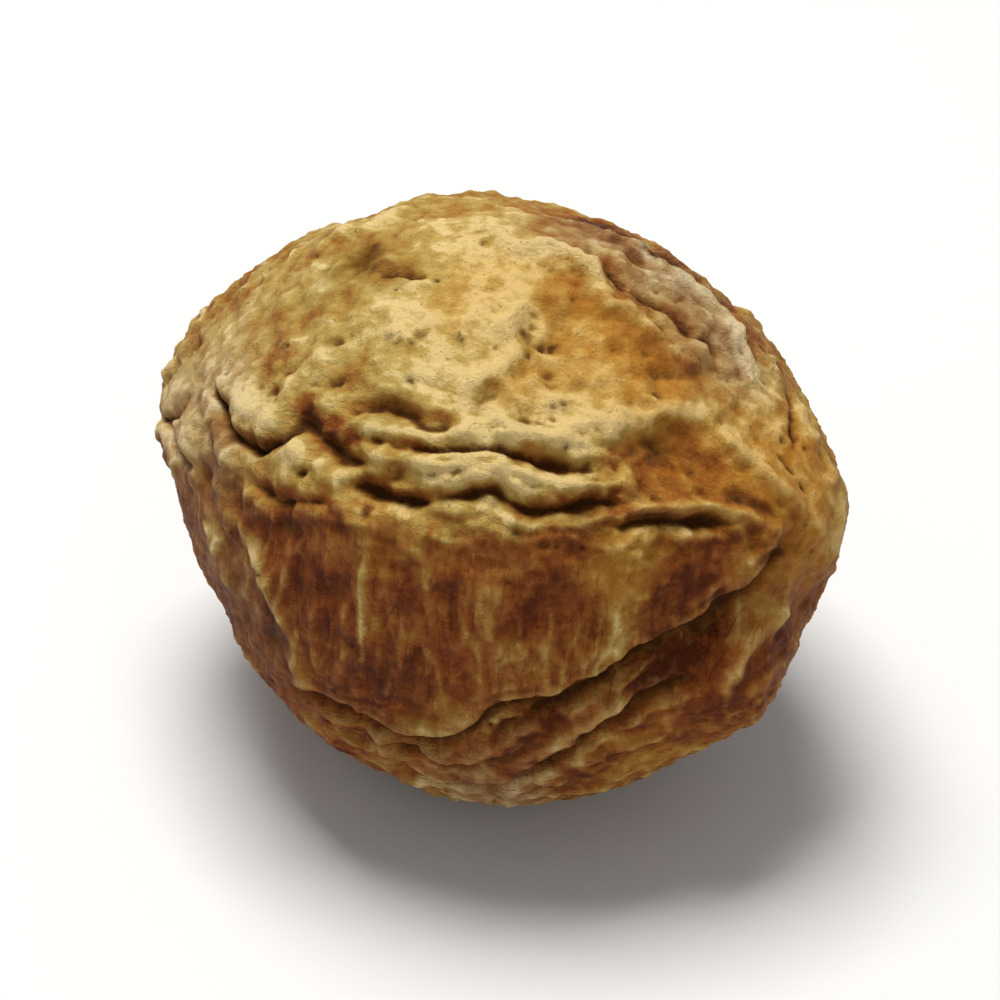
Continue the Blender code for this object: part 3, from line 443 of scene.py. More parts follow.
DARK_LINES = (
    (((0.95, 50), (0.88, 69), (0.77, 82), (0.69, 86), (0.59, 92), (0.45, 97), (0.31, 99)), 0.45, 0.30),
    (((0.31, 99), (0.24, 104), (0.14, 109), (0.04, 111), (-0.11, 109), (-0.24, 108), (-0.42, 113)),
     0.40, 0.30),
    (((0.73, 99), (0.62, 103), (0.54, 108), (0.46, 112), (0.38, 116), (0.29, 120), (0.17, 122)), 0.40, 0.34),
    (CREASES["furrow below it"][-1][8:], 0.35, 0.30),
    (CREASES["line between the furrows"][-1][:6], 0.30, 0.26),
    (((-0.20, 54), (-0.15, 55), (-0.10, 56), (-0.03, 56), (0.03, 56), (0.09, 55)), 0.55, 0.30),
    (((0.10, 54), (0.17, 53), (0.23, 51), (0.27, 52), (0.37, 53), (0.42, 52), (0.49, 49)), 0.30, 0.24),
    (((0.93, 60), (0.89, 70), (0.84, 79), (0.78, 86), (0.71, 91), (0.63, 95), (0.55, 98)), 0.90, 0.34),
    (((0.52, 96), (0.40, 101), (0.30, 105), (0.20, 109), (0.06, 112), (-0.10, 111)), 0.70, 0.22),
    (((0.44, 110), (0.30, 116), (0.16, 119), (0.00, 116), (-0.16, 112)), 0.50, 0.16),
    (((-0.43, 41), (-0.37, 44), (-0.32, 47), (-0.25, 50), (-0.17, 50)), 0.70, 0.56),
    (((-0.69, 41), (-0.67, 45), (-0.60, 50), (-0.53, 51), (-0.46, 49), (-0.39, 46)), 0.45, 0.40),
    (((-0.29, 42), (-0.23, 42), (-0.08, 40), (0.02, 40), (0.10, 40), (0.16, 41)), 0.40, 0.34),
    (((-0.36, 45), (-0.23, 46), (-0.14, 47), (-0.04, 47), (0.08, 46), (0.17, 45)), 0.38, 0.50),
    (((0.14, 46), (0.25, 46), (0.34, 44), (0.43, 44), (0.50, 46)), 0.30, 0.34),
    (((0.40, 54), (0.50, 51), (0.61, 50), (0.68, 49), (0.75, 49)), 0.32, 0.28),
    (((-0.30, 72), (-0.28, 80), (-0.27, 90)), 0.60, 0.14),
    (((-0.16, 68), (-0.14, 76), (-0.13, 84), (-0.11, 92)), 0.50, 0.14),
    (((0.00, 66), (0.02, 74), (0.04, 84), (0.08, 94)), 0.50, 0.14),
    (((0.17, 62), (0.19, 70), (0.22, 80)), 0.50, 0.12),
    (((0.47, 76), (0.46, 84), (0.44, 92)), 0.60, 0.12),
    (((-0.50, 82), (-0.44, 90), (-0.40, 100)), 0.50, 0.16),
    (CREASES["line beside the top rib"][-1][:7], 0.40, 0.34),
    (CREASES["line behind the top rib"][-1], 0.40, 0.30),
    (((0.60, 9), (0.66, 7), (0.71, 9)), 0.40, 0.24),
    (((0.76, 12), (0.81, 10), (0.84, 12)), 0.40, 0.22),
    (CREASES["notch between the rib and the tip"][-1][1:], 0.35, 0.26),
    (((0.74, 42), (0.79, 41), (0.84, 40), (0.88, 41), (0.91, 40)), 0.28, 0.30),
    (((0.95, 64), (0.92, 69), (0.89, 75), (0.86, 82)), 0.35, 0.24),
    (((-0.98, 42), (-0.92, 55), (-0.84, 62), (-0.74, 63)), 0.35, 0.26),
    (CREASES["short line on the top"][-1], 0.35, 0.28),
)

# Patches of another hue: place, radius in millimetres, and strength
GOLD_PATCHES = (
    ((0.40, 14), 4.0, 0.9), ((0.52, 16), 2.6, 1.0), ((0.22, 6), 3.0, 0.5), ((0.56, 16), 3.4, 0.9),
    ((-0.01, 17), 2.6, 0.4), ((0.26, 28), 2.6, 0.6), ((0.67, 34), 3.2, 0.7), ((0.88, 22), 4.5, 1.0),
    ((0.92, 14), 3.5, 0.9), ((0.95, 40), 5.0, 1.0), ((0.80, 36), 3.0, 0.6), ((0.66, 118), 4.0, 0.4),
    ((-0.05, 62), 2.4, 0.4), ((0.63, 62), 3.0, 1.0), ((0.02, 8), 3.0, 0.4),
)
RED_PATCHES = (
    ((0.75, 62), 2.4, 0.9), ((0.40, 72), 4.5, 0.5), ((0.08, 74), 3.5, 0.5), ((-0.25, 80), 3.5, 0.7),
    ((-0.42, 72), 2.5, 0.5), ((0.15, 92), 3.0, 0.4), ((0.30, 120), 5.0, 0.4), ((0.80, 86), 3.0, 0.5),
    ((-0.69, 66), 1.6, 0.6), ((0.88, 92), 3.0, 0.6), ((0.78, 60), 1.8, 0.6), ((0.94, 56), 3.0, 0.4),
    ((0.55, 104), 4.0, 0.7), ((0.30, 109), 4.0, 0.7), ((0.05, 114), 4.0, 0.6), ((-0.20, 112), 4.0, 0.8),
    ((0.74, 96), 3.0, 0.7), ((0.20, 84), 4.0, 0.4),
)
OLIVE_PATCHES = (
    ((-0.37, 4), 2.2, 0.9), ((-0.45, 10), 2.4, 0.6), ((-0.22, 10), 1.8, 0.5), ((-0.12, 40), 1.8, 0.6),
    ((-0.60, 50), 4.0, 0.5), ((0.66, 60), 1.8, 0.6), ((0.84, -6), 2.0, 0.4), ((-0.30, 32), 4.0, 0.3),
    ((0.22, 38), 3.0, 0.3),
)
GREY_PATCHES = (
    ((0.20, -14), 3.0, 0.5), ((0.36, -14), 3.0, 0.7), ((0.52, -12), 3.0, 0.8), ((0.68, -6), 3.0, 0.7),
    ((0.78, -4), 2.2, 0.4), ((-0.90, 50), 6.0, 0.5), ((-0.72, 40), 4.0, 0.5), ((-0.62, 56), 3.0, 0.5),
    ((-0.55, 92), 4.0, 0.4), ((0.26, 126), 4.0, 0.7),
)

# Noises of the skin's colours: size, detail, roughness, stretch, and the part of the noise that is used
MID = (1.4 * MM, 5, 0.60, (1, 1, 1), 0.3)
FINE = (0.5 * MM, 5, 0.70, (0.7, 1.2, 1.2), 0.7)
STREAKS = (1.4 * MM, 6, 0.65, (1.6, 0.4, 0.4), 0.5)
GRIT = (0.9 * MM, 8, 0.72, (1, 1, 1), 0.1)
LENGTHWISE = (1.3 * MM, 3, 0.55, (0.35, 1.3, 1.3), 0.2)
CROSSWISE = (1.5 * MM, 3, 0.55, (1.4, 0.4, 0.4), 0.4)
SPECKS = (0.33 * MM, 2, 0.50, (1, 1, 1), 0.9)

# What the shade is mixed from besides paleness. The grit noise is also the bump's height, so its
# share paints light on the bump's tops and shade in its dips; raised skin gets painted light, and
# sunk skin and the crinkle grooves painted shade
GRIT_SHARE, FINE_SHARE, STREAK_NOISE_SHARE, MID_SHARE = 0.45, 0.25, 0.18, 0.12
NOISE_STRENGTH = 1.3
RAISED_PAINTED_LIGHT, SUNK_PAINTED_SHADE, CRINKLE_PAINTED_SHADE = 0.26, 0.16, 0.08
CRINKLE_WIDTH = 0.035

# The colours that each kind of skin has from dark to pale shades: shade and colour
PLAIN = (
    (0.00, (0.065, 0.012, 0.0010)), (0.15, (0.145, 0.031, 0.0030)), (0.30, (0.24, 0.062, 0.008)),
    (0.45, (0.33, 0.117, 0.018)), (0.60, (0.40, 0.195, 0.034)), (0.75, (0.47, 0.295, 0.066)),
    (0.88, (0.56, 0.380, 0.105)), (1.00, (0.79, 0.58, 0.245)),
)
HUES = {
    "olive": (
        (0.15, (0.080, 0.032, 0.002)), (0.45, (0.23, 0.122, 0.013)), (0.70, (0.40, 0.275, 0.060)),
        (1.00, (0.64, 0.53, 0.23)),
    ),
    "red": (
        (0.10, (0.105, 0.015, 0.0013)), (0.35, (0.25, 0.052, 0.006)), (0.60, (0.36, 0.122, 0.020)),
        (1.00, (0.60, 0.37, 0.15)),
    ),
    "gold": (
        (0.15, (0.15, 0.036, 0.0025)), (0.45, (0.36, 0.126, 0.009)), (0.70, (0.47, 0.20, 0.022)),
        (1.00, (0.68, 0.40, 0.095)),
    ),
    "grey": (
        (0.15, (0.075, 0.035, 0.014)), (0.45, (0.25, 0.135, 0.060)), (0.70, (0.42, 0.275, 0.150)),
        (1.00, (0.66, 0.53, 0.37)),
    ),
}
HUE_STRENGTH = 0.9

# Colours laid over these: colour and strength. The crest colour is painted light on raised skin, the
# two furrow colours painted shade in sunk skin, and the pin hole colour painted shade in the pin
# holes; the specks are the skin's own
CREST_PAINTED_LIGHT = ((0.58, 0.40, 0.15), 0.20)
FURROW_PAINTED_SHADE = ((0.20, 0.078, 0.010), 0.70)
DEEP_FURROW_PAINTED_SHADE = ((0.070, 0.020, 0.0018), 0.85)
PIN_HOLE_PAINTED_SHADE = ((0.060, 0.024, 0.005), 0.75)
SPECK = ((0.07, 0.03, 0.008), 0.4)

# Where a noise or tone begins to count and where it counts in full
CRESTS_OF_MID = (0.35, 0.60)
FURROW_FROM, DEEP_FURROW_FROM = (0.10, 0.55), (0.40, 1.00)
SPECKS_FROM = (0.66, 0.72)

ROUGHNESS, ROUGHNESS_NOISE = 0.40, 0.3
SPECULAR = 0.13
BUMP_HEIGHT = 0.45 * MM
BUMP_CRINKLES = 0.16

# The photograph's camera: it looks down at the fruit from the front, a little from the tip's side
CAMERA_AZIMUTH = 18.0
CAMERA_ELEVATION = 38.0
CAMERA_DISTANCE = 0.28
VIEW_WIDTH = 57.7 * MM
SENSOR = 36.0
MIDDLE_ACROSS, MIDDLE_DOWN = 0.487, 0.488
NEAREST_SHOWN = 10 * MM

FLOOR_SIZE = 4.0
FLOOR_DROP = 0.05 * MM
FLOOR_COLOUR = (0.72, 0.715, 0.70)
FLOOR_ROUGHNESS = 0.7

# Lights: place seen from the middle of the fruit, power, size and colour
LIGHTS = {
    "overhead softbox": ((-0.08, 0.06, 0.45), 2.7, 0.22, (1, 0.985, 0.965)),
    "front fill": ((0.30, -0.40, 0.20), 0.50, 0.40, (1, 1, 1)),
}
ROOM_COLOUR = (0.95, 0.97, 1.0, 1)
ROOM_STRENGTH = 0.30


def ways(along, around):
    """Unit vectors from the middle of the fruit toward places on it."""
    angle = np.radians(around)
    girth = np.sqrt(1 - np.square(along))
    return np.stack([along + 0 * angle, -girth * np.sin(angle), girth * np.cos(angle)], -1)


def turn(points):
    """How far around the fruit each point lies, in degrees."""
    return np.degrees(np.arctan2(-points[:, 1], points[:, 2]))


def metres(*millimetres):
    return [value * MM for value in millimetres]


def fullness(along):
    """The fruit's thickness along its length, 1 at its middle and 0 at both ends."""
    toward_tip = np.clip((along - FULLEST) / (1 - FULLEST), 0, 1)
    toward_stalk = np.clip((FULLEST - along) / (1 + FULLEST), 0, 1)
    tip = (1 - toward_tip ** TIP_POWERS[0]) ** TIP_POWERS[1]
    stalk = (1 - toward_stalk ** STALK_POWERS[0]) ** STALK_POWERS[1]
    return np.minimum(tip, stalk)


def ribs(along, around):
    """How far the lengthwise ribs stand out, less their mean, and nothing at both ends."""
    rise = np.zeros(len(along))
    for centre, height, spread in RIBS:
        off = (around - centre + 180) % 360 - 180
        rise += height * MM * (hump(off, spread) - RIB_MEAN)
    return rise * np.sqrt(1 - np.square(along))


def ovoid(way):
    """The fruit without its wrinkles, as one point for each unit vector."""
    along = np.clip(way[:, 0], -1, 1)
    around = turn(way)
    radius = GIRTH_RADIUS * fullness(along) + ribs(along, around)
    angle = np.radians(around)
    points = np.stack([HALF_LENGTH * along, -radius * np.sin(angle), radius * np.cos(angle)], -1)
    for place, reach, height in SWELLS:
        off = np.degrees(np.arccos(np.clip(way @ ways(*place), -1, 1)))
        points += way * (height * MM * hump(off, reach))[:, None]
    return points


def on_skin(place):
    """The point of the plain ovoid at a place."""
    return ovoid(ways(*place)[None])[0]


def distances(points, place):
    """How far the points lie from a place on the skin."""
    return np.linalg.norm(points - on_skin(place), axis=1)


def smooth_line(route, steps=6):
    """Points on the skin along a smooth curve through the places of a route."""
    places = np.array(route, float)
    places = np.vstack([2 * places[0] - places[1], places, 2 * places[-1] - places[-2]])
    found = []
    for before, start, end, after in zip(places, places[1:], places[2:], places[3:]):
        for t in np.arange(steps) / steps:
            turn = (end - before) * t + (2 * before - 5 * start + 4 * end - after) * t**2
            turn += (3 * start - before - 3 * end + after) * t**3
            found.append(start + turn / 2)
    found.append(places[-2])
    found = np.array(found)
    return ovoid(ways(np.clip(found[:, 0], -END, END), found[:, 1]))


def nearness(points, route, reach):
    """For the points within reach of a route: which they are, how far to each side of it they lie,
    and how far along it from 0 to 1. The side is positive where around grows, on a route toward the tip."""
    line = smooth_line(route)
    low, high = line.min(0) - reach, line.max(0) + reach
    near = np.flatnonzero(((points > low) & (points < high)).all(1))
    spans = line[1:] - line[:-1]
    lengths = np.linalg.norm(spans, axis=1)
    offset = points[near][:, None] - line[:-1]
    t = np.clip((offset * spans).sum(2) / lengths**2, 0, 1)
    gap = offset - t[:, :, None] * spans
    distance = np.linalg.norm(gap, axis=2)
    nearest = distance.argmin(1)
    rows = np.arange(len(near))
    ends = np.concatenate([[0], np.cumsum(lengths)])
    share = (ends[nearest] + t[rows, nearest] * lengths[nearest]) / ends[-1]
    side = np.sign((np.cross(spans[nearest], points[near]) * gap[rows, nearest]).sum(1))
    inside = distance[rows, nearest] < reach
    return near[inside], (-side * distance[rows, nearest])[inside], share[inside]


def faded(share, ends):
    """1 along a line, sinking to 0 at both of its ends."""
    t = np.clip(np.minimum(share, 1 - share) / ends, 0, 1)
    return t * t * (3 - 2 * t)


def hump(offset, half_width):
    return np.exp(-0.5 * (offset / half_width) ** 2)


def add_crease(relief, points, route, depth, half_width, upper_lip, lower_lip, ends=CREASE_FADE):
    near, side, share = nearness(points, route, CREASE_REACH * half_width)
    rise = upper_lip * hump(side + LIP_PLACE * half_width, LIP_WIDTH * half_width)
    rise += lower_lip * hump(side - LIP_PLACE * half_width, LIP_WIDTH * half_width)
    wall = half_width * np.where(side < 0, STEEP, GENTLE)
    wall *= 1 + UNEVEN_SHARE * noises(points[near] / UNEVEN_SIZE)
    depths = depth * (1 + PATCHY_SHARE * noises(points[near] / PATCHY_SIZE))
    fall = np.exp(-((np.abs(side) / wall) ** WALL_POWER))
    relief[near] += faded(share, ends) * (rise - depths * fall)


def add_fold(relief, points, route, height, half_width):
    near, side, share = nearness(points, route, FOLD_REACH * half_width)
    relief[near] += faded(share, FOLD_FADE) * height * hump(side, half_width)


def add_hollow(relief, points, place, depth, radius):
    relief -= depth * hump(distances(points, place), ROUND * radius)


def back_crease(relief, points, draw, around, depths):
    """One lengthwise furrow of the hidden sides."""
    start, end = -draw.uniform(*BACK_REACH), draw.uniform(*BACK_REACH)
    stops = [start + (end - start) * k / (BACK_STOPS - 1) for k in range(BACK_STOPS)]
    route = [(along, around + draw.uniform(-BACK_SWAY, BACK_SWAY)) for along in stops]
    depth, half_width = draw.uniform(*depths), draw.uniform(*BACK_HALF_WIDTH)
    add_crease(relief, points, route, depth, half_width, BACK_LIP, BACK_LIP, BACK_FADE)


def add_back(relief, points):
    draw = random.Random(SEED)
    for rib in BACK_RIBS:
        for side in (-0.5, 0.5):
            back_crease(relief, points, draw, rib + side * RIB_PAIR_GAP, RIB_CREASE)
    for face in BACK_FACES:
        for i in range(FACE_FURROWS):
            around = face + FACE_FURROW_GAP * (i - (FACE_FURROWS - 1) / 2)
            back_crease(relief, points, draw, around, FACE_CREASE)
    for i in range(CROSS_FOLDS):
        along = draw.uniform(-CROSS_ALONG, CROSS_ALONG)
        around = BACK_FACES[i % len(BACK_FACES)] + draw.uniform(-CROSS_AROUND, CROSS_AROUND)
        length, lean = draw.uniform(*CROSS_LENGTH), draw.uniform(-CROSS_LEAN, CROSS_LEAN)
        route = [(along + lean * k, around + length * k / 2) for k in (-1, 0, 1)]
        add_fold(relief, points, route, CROSS_HEIGHT, CROSS_HALF_WIDTH)


def add_stalk_end(relief, points):
    off = distances(points, (-END, 0))
    relief -= SCAR_DEPTH * hump(off, ROUND * SCAR_RADIUS)
    relief += SCAR_RIM * hump(off - RIM_PLACE * SCAR_RADIUS, RIM_WIDTH * SCAR_RADIUS)
    middle = (PLEAT_FROM + PLEAT_TO) / 2
    for i in range(PLEATS):
        around = 360 * i / PLEATS + PLEAT_SHIFT * (i % 3)
        route = ((PLEAT_FROM, around), (middle, around + PLEAT_BEND), (PLEAT_TO, around))
        add_crease(relief, points, route, PLEAT_DEPTH, PLEAT_HALF_WIDTH, 0, 0)


def add_lumps(relief, points):
    for size, height in LUMPS:
        relief += height * noises(points / size)


def add_knobs(relief, points):
    for place, *lengths in KNOBBLY:
        reach, size, height = metres(*lengths)
        off = distances(points, place)
        near = np.flatnonzero(off < 3 * reach)
        relief[near] += height * hump(off[near], reach) * noises(points[near] / size)


def on_front(around, spread=FRONT_FACE[1]):
    """1 in the middle of the front face, and less and less to both of its sides."""
    return hump(around - FRONT_FACE[0], spread)


def wrinkle_depths(points, size):
    """0 on the sharp crests of a net of wrinkles of that size, and larger in the dips between them."""
    front = on_front(turn(points))
    along = np.abs(noises(points / size * LENGTH_STRETCH))
    across = np.abs(noises(points / size * CROSS_STRETCH))
    return (1 - front) * along + front * across


def wrinkled_share(points):
    """How strong the wrinkles are: all of them, but few on the pale top."""
    return 1 - (1 - TOP_SHARE) * hump(turn(points) - PALE_TOP[0], PALE_TOP[1])


def add_wrinkles(relief, points, wrinkles):
    strong = wrinkled_share(points)
    for size, height in wrinkles:
        relief -= height * strong * (wrinkle_depths(points, size) - WRINKLE_MEAN)


def noises(points):
    return np.array([noise.noise(point) for point in points.tolist()])


def drift(points, size):
    """A small move for each point, like those of its neighbours within that size."""
    return np.array([noise.noise_vector(point) for point in (points / size).tolist()])


def ragged(points):
    """The points moved about a little, which makes a line measured from them uneven."""
    moved = points.copy()
    for size, shift in RAGGED:
        moved += shift * drift(points, size)
    return moved


def relief_of(points):
    """How far each point of the plain ovoid moves out, or in where it is negative."""
    relief = np.zeros(len(points))
    uneven = ragged(points)
    for *sizes, route in CREASES.values():
        add_crease(relief, uneven, route, *metres(*sizes[:4]), *sizes[4:])
    for *sizes, route in FOLDS.values():
        add_fold(relief, uneven, route, *metres(*sizes))
    for place, *lengths in HOLLOWS:
        add_hollow(relief, points, place, *metres(*lengths))
    add_back(relief, uneven)
    add_stalk_end(relief, uneven)
    add_lumps(relief, points)
    add_knobs(relief, points)
    add_wrinkles(relief, points, WRINKLES)
    return relief


def read_points(mesh):
    points = np.empty(3 * len(mesh.vertices))
    mesh.vertices.foreach_get("co", points)
    return points.reshape(-1, 3)


def write_points(mesh, points):
    mesh.vertices.foreach_set("co", points.ravel())
    mesh.update()


def read_normals(mesh):
    normals = np.empty(3 * len(mesh.vertices))
    mesh.vertex_normals.foreach_get("vector", normals)
    return normals.reshape(-1, 3)


def add_grain(relief, points, front):
    """Mealy grain, finest on the pale top and fainter on the front."""
    for size, height in GRAIN:
        relief += height * noises(points / size) * (1 - FRONT_GRAIN * front)
    add_wrinkles(relief, points, FINE_WRINKLES)


def add_ripples(relief, points):
    """Roughness and fine lines beside the long creases, fading away from them."""
    for name in RIPPLED:
        near, side, share = nearness(points, CREASES[name][-1], 2 * RIPPLE_REACH)
        beside = hump(side, RIPPLE_REACH)
        away = rising(np.abs(side), *RIPPLE_START) * beside
        wave = np.cos(2 * math.pi * side / RIPPLE_GAP) * (0.5 + noises(points[near] / RIPPLE_PATCHES))
        rough = sum(height * noises(points[near] / size * ROUGH_STRETCH) for size, height in ROUGH_BESIDE)
        relief[near] += faded(share, LINE_FADE) * (RIPPLE_HEIGHT * away * wave + beside * rough)


def warped(points, size, shift):
    """The points moved about a little, so that what is measured from them has uneven edges."""
    return points + shift * drift(points, size)


def add_pit(relief, holes, points, place, radius, depth):
    near = np.flatnonzero((np.abs(points - place) < 3 * radius).all(1))
    share = hump(np.linalg.norm(points[near] - place, axis=1), ROUND * radius)
    relief[near] -= depth * share
    holes[near] = np.maximum(holes[near], share)


def add_pits(relief, points):
    """Pin holes strewn over the skin. Returns how much of a pin hole each point is, from 0 to 1."""
    draw = random.Random(SEED + 1)
    holes = np.zeros(len(points))
    for _ in range(PITS):
        place = points[draw.randrange(len(points))]
        add_pit(relief, holes, points, place, draw.uniform(*PIT_RADIUS), draw.uniform(*PIT_DEPTH))
    uneven = warped(points, *PIT_EDGES)
    for place in TOP_PITS:
        add_pit(relief, holes, uneven, on_skin(place), TOP_PIT_RADIUS, TOP_PIT_DEPTH)
    return holes


def mesh_edges(mesh):
    edges = np.empty(2 * len(mesh.edges), np.int32)
    mesh.edges.foreach_get("vertices", edges)
    return edges.reshape(-1, 2)


def blurred(values, edges, times):
    """The values evened out between neighbouring points, that many times."""
    ends = np.concatenate([edges[:, 0], edges[:, 1]])
    others = np.concatenate([edges[:, 1], edges[:, 0]])
    count = np.bincount(ends, minlength=len(values))
    for _ in range(times):
        around_it = np.bincount(ends, weights=values[others], minlength=len(values)) / count
        values = 0.5 * values + 0.5 * around_it
    return values


def rising(values, low, high):
    """0 below low, 1 above high, and smooth between."""
    t = np.clip((values - low) / (high - low), 0, 1)
    return t * t * (3 - 2 * t)


def patches(points, table):
    """How far each point lies within a table's patches, from 0 to 1."""
    total = np.zeros(len(points))
    for place, radius, strength in table:
        share = strength * hump(distances(points, place), ROUND * (radius * MM))
        total = 1 - (1 - total) * (1 - share)
    return total


def lines(points, table):
    """The same for a table's lines."""
    total = np.zeros(len(points))
    for route, width, strength in table:
        half_width = width * MM
        near, side, share = nearness(points, route, FOLD_REACH * half_width)
        line = strength * hump(side, half_width) * faded(share, LINE_FADE)
        total[near] = np.maximum(total[near], line)
    return total


def behind(around):
    """1 on the back and underneath, 0 on the top and front, and smooth between."""
    return np.maximum(rising(-around, *BEHIND_TOP), rising(around, *BEHIND_FRONT))


def spots(points):
    """How much paler the small patches make each point, or darker where it is negative; some are painted
    light and shade.
    """
    total = np.zeros(len(points))
    for place, radius, strength in SPOTS:
        total += strength * hump(distances(points, place), ROUND * (radius * MM))
    return total


def broad_paleness(way, points):
    """How pale the skin is before it is made uneven."""
    around = turn(way)
    sway = sum(degrees * noises(points / size + part) for degrees, size, part in SWAY)
    below_edge = around - np.interp(way[:, 0], *np.array(PALE_EDGE).T) + EDGE_SWAY * sway
    front = np.interp(below_edge, *np.array(FRONT_PALENESS).T)
    back = np.interp(around + sway, *np.array(BACK_PALENESS).T)
    under = rising(around, *UNDERSIDE)
    to_underside = (1 - under) * front + under * BACK_PALENESS[0][1]
    return np.where(around < 0, np.minimum(front, back), to_underside)


def paleness(way, points, uneven):
    """How pale the skin is at each point, from 0 dark brown to 1 cream, with painted light and shade in it.
    """
    pale = broad_paleness(way, points)
    around = turn(way)
    front = on_front(around)
    contrast = 1 + (BACK_UNEVEN - 1) * behind(around)
    for size, strength in UNEVEN_PALENESS:
        even = noises(points / size * SPECKLE_STRETCH + NOISE_PART)
        drawn_out = noises(points / size * STREAK_STRETCH + NOISE_PART)
        pale += contrast * strength * ((1 - front) * even + STREAK_SHARE * front * drawn_out)
    share = wrinkled_share(points) * (1 + (BACK_CRESTS - 1) * behind(around))
    # Painted light on the wrinkle crests and painted shade in their dips
    for size, width, strength in CRESTS_PAINTED_LIGHT:
        crest = 1 - rising(wrinkle_depths(points, size), 0, width)
        pale += strength * share * (crest - CREST_MEAN)
    # The pale lines paint light on the fold crests, the dark lines paint shade in the creases, and the spots
    # add both
    return pale + lines(uneven, PALE_LINES) - lines(uneven, DARK_LINES) + spots(uneven)


def tones(way, points, relief, holes, edges):
    """What the skin's colour depends on, each as one number from 0 to 1 for each point."""
    uneven = points
    for size, shift in PATCH_EDGES:
        uneven = warped(uneven, size, shift)
    near = relief - blurred(relief, edges, NEAR_BLUR)
    far = relief - blurred(relief, edges, FAR_BLUR)
    around = turn(way)
    # Sunk skin gets painted shade, and raised skin painted light
    sunk_painted_shade = rising(-far, *FAR_SUNK) + NEAR_SHARE * rising(-near, *NEAR_SUNK)
    return {
        "pale": paleness(way, points, uneven),
        "gold": patches(uneven, GOLD_PATCHES),
        "red": patches(uneven, RED_PATCHES),
        "olive": patches(uneven, OLIVE_PATCHES),
        "grey": patches(uneven, GREY_PATCHES),
        "sunk_painted_shade": sunk_painted_shade * (1 + (BACK_SUNK - 1) * behind(around) * (1 - rising(sunk_painted_shade, *DEEP))),
        "raised_painted_light": NEAR_SHARE * (rising(far, *FAR_RAISED) + rising(near, *NEAR_RAISED)),
        "hole": holes,
        "wrinkled": wrinkled_share(points) ** 2,
        "front": on_front(around, FRONT_SPREAD * FRONT_FACE[1]),
    }


def keep_tones(mesh, found):
    for name, values in found.items():
        layer = mesh.attributes.new(name, "FLOAT", "POINT")
        layer.data.foreach_set("value", np.clip(values, 0, 1).astype(np.float32))


def wrinkled_mesh():
    """A fine ball whose points are moved to the wrinkled fruit's skin."""
    bm = bmesh.new()
    bmesh.ops.create_icosphere(bm, subdivisions=SPHERE_STEPS, radius=1)
    mesh = bpy.data.meshes.new("fruit_skin")
    bm.to_mesh(mesh)
    bm.free()
    way = read_points(mesh)
    way /= np.linalg.norm(way, axis=1, keepdims=True)
    points = ovoid(way)
    write_points(mesh, points)
    normals = read_normals(mesh)
    relief = relief_of(points)
    around = turn(way)
    add_grain(relief, points, on_front(around))
    add_ripples(relief, ragged(points))
    holes = add_pits(relief, points)
    edges = mesh_edges(mesh)
    found = tones(way, points, relief, holes, edges)
    write_points(mesh, points + normals * relief[:, None])
    # Painted light on the sides of the wrinkles that look up, and painted shade on those that look down
    upward_painted_light = blurred(read_normals(mesh)[:, 2] - normals[:, 2], edges, NEAR_BLUR)
    upward_painted_light *= 1 + (FRONT_UPWARD - 1) * found["front"] + (BACK_UPWARD - 1) * behind(around)
    found["pale"] += UPWARD_PAINTED_LIGHT * np.clip(upward_painted_light, -UPWARD_REACH, UPWARD_REACH)
    keep_tones(mesh, found)
    return mesh


def new_object(name, data):
    made = bpy.data.objects.new(name, data)
    bpy.context.scene.collection.objects.link(made)
    return made


def simplified(mesh, triangles):
    """The same shape with that many triangles, most of them where it bends most."""
    helper = new_object("fine_ball", mesh)
    decimate = helper.modifiers.new("fewer triangles", "DECIMATE")
    decimate.ratio = triangles / len(mesh.polygons)
    found = helper.evaluated_get(bpy.context.evaluated_depsgraph_get())
    simple = bpy.data.meshes.new_from_object(found)
    bpy.data.objects.remove(helper)
    bpy.data.meshes.remove(mesh)
    return simple


def rest_on_flat(mesh):
    """Puts the skin where the solid is, top to top, and cuts it level with the flat the fruit lies on.
    Returns where the middle of the plain ovoid comes to."""
    low, high = (np.array(corner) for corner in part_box(NODE))
    points = read_points(mesh)
    own_low, own_high = points.min(0), points.max(0)
    shift = (low + high) / 2 - (own_low + own_high) / 2
    shift[2] = high[2] - own_high[2]
    write_points(mesh, points + shift)
    bm = bmesh.new()
    bm.from_mesh(mesh)
    everything = bm.verts[:] + bm.edges[:] + bm.faces[:]
    cut = bmesh.ops.bisect_plane(
        bm, geom=everything, plane_co=(0, 0, low[2]), plane_no=(0, 0, -1), clear_outer=True
    )
    rim = [piece for piece in cut["geom_cut"] if isinstance(piece, bmesh.types.BMEdge)]
    bmesh.ops.contextual_create(bm, geom=rim)
    bmesh.ops.triangulate(bm, faces=bm.faces)
    bm.to_mesh(mesh)
    bm.free()
    return Vector(shift)


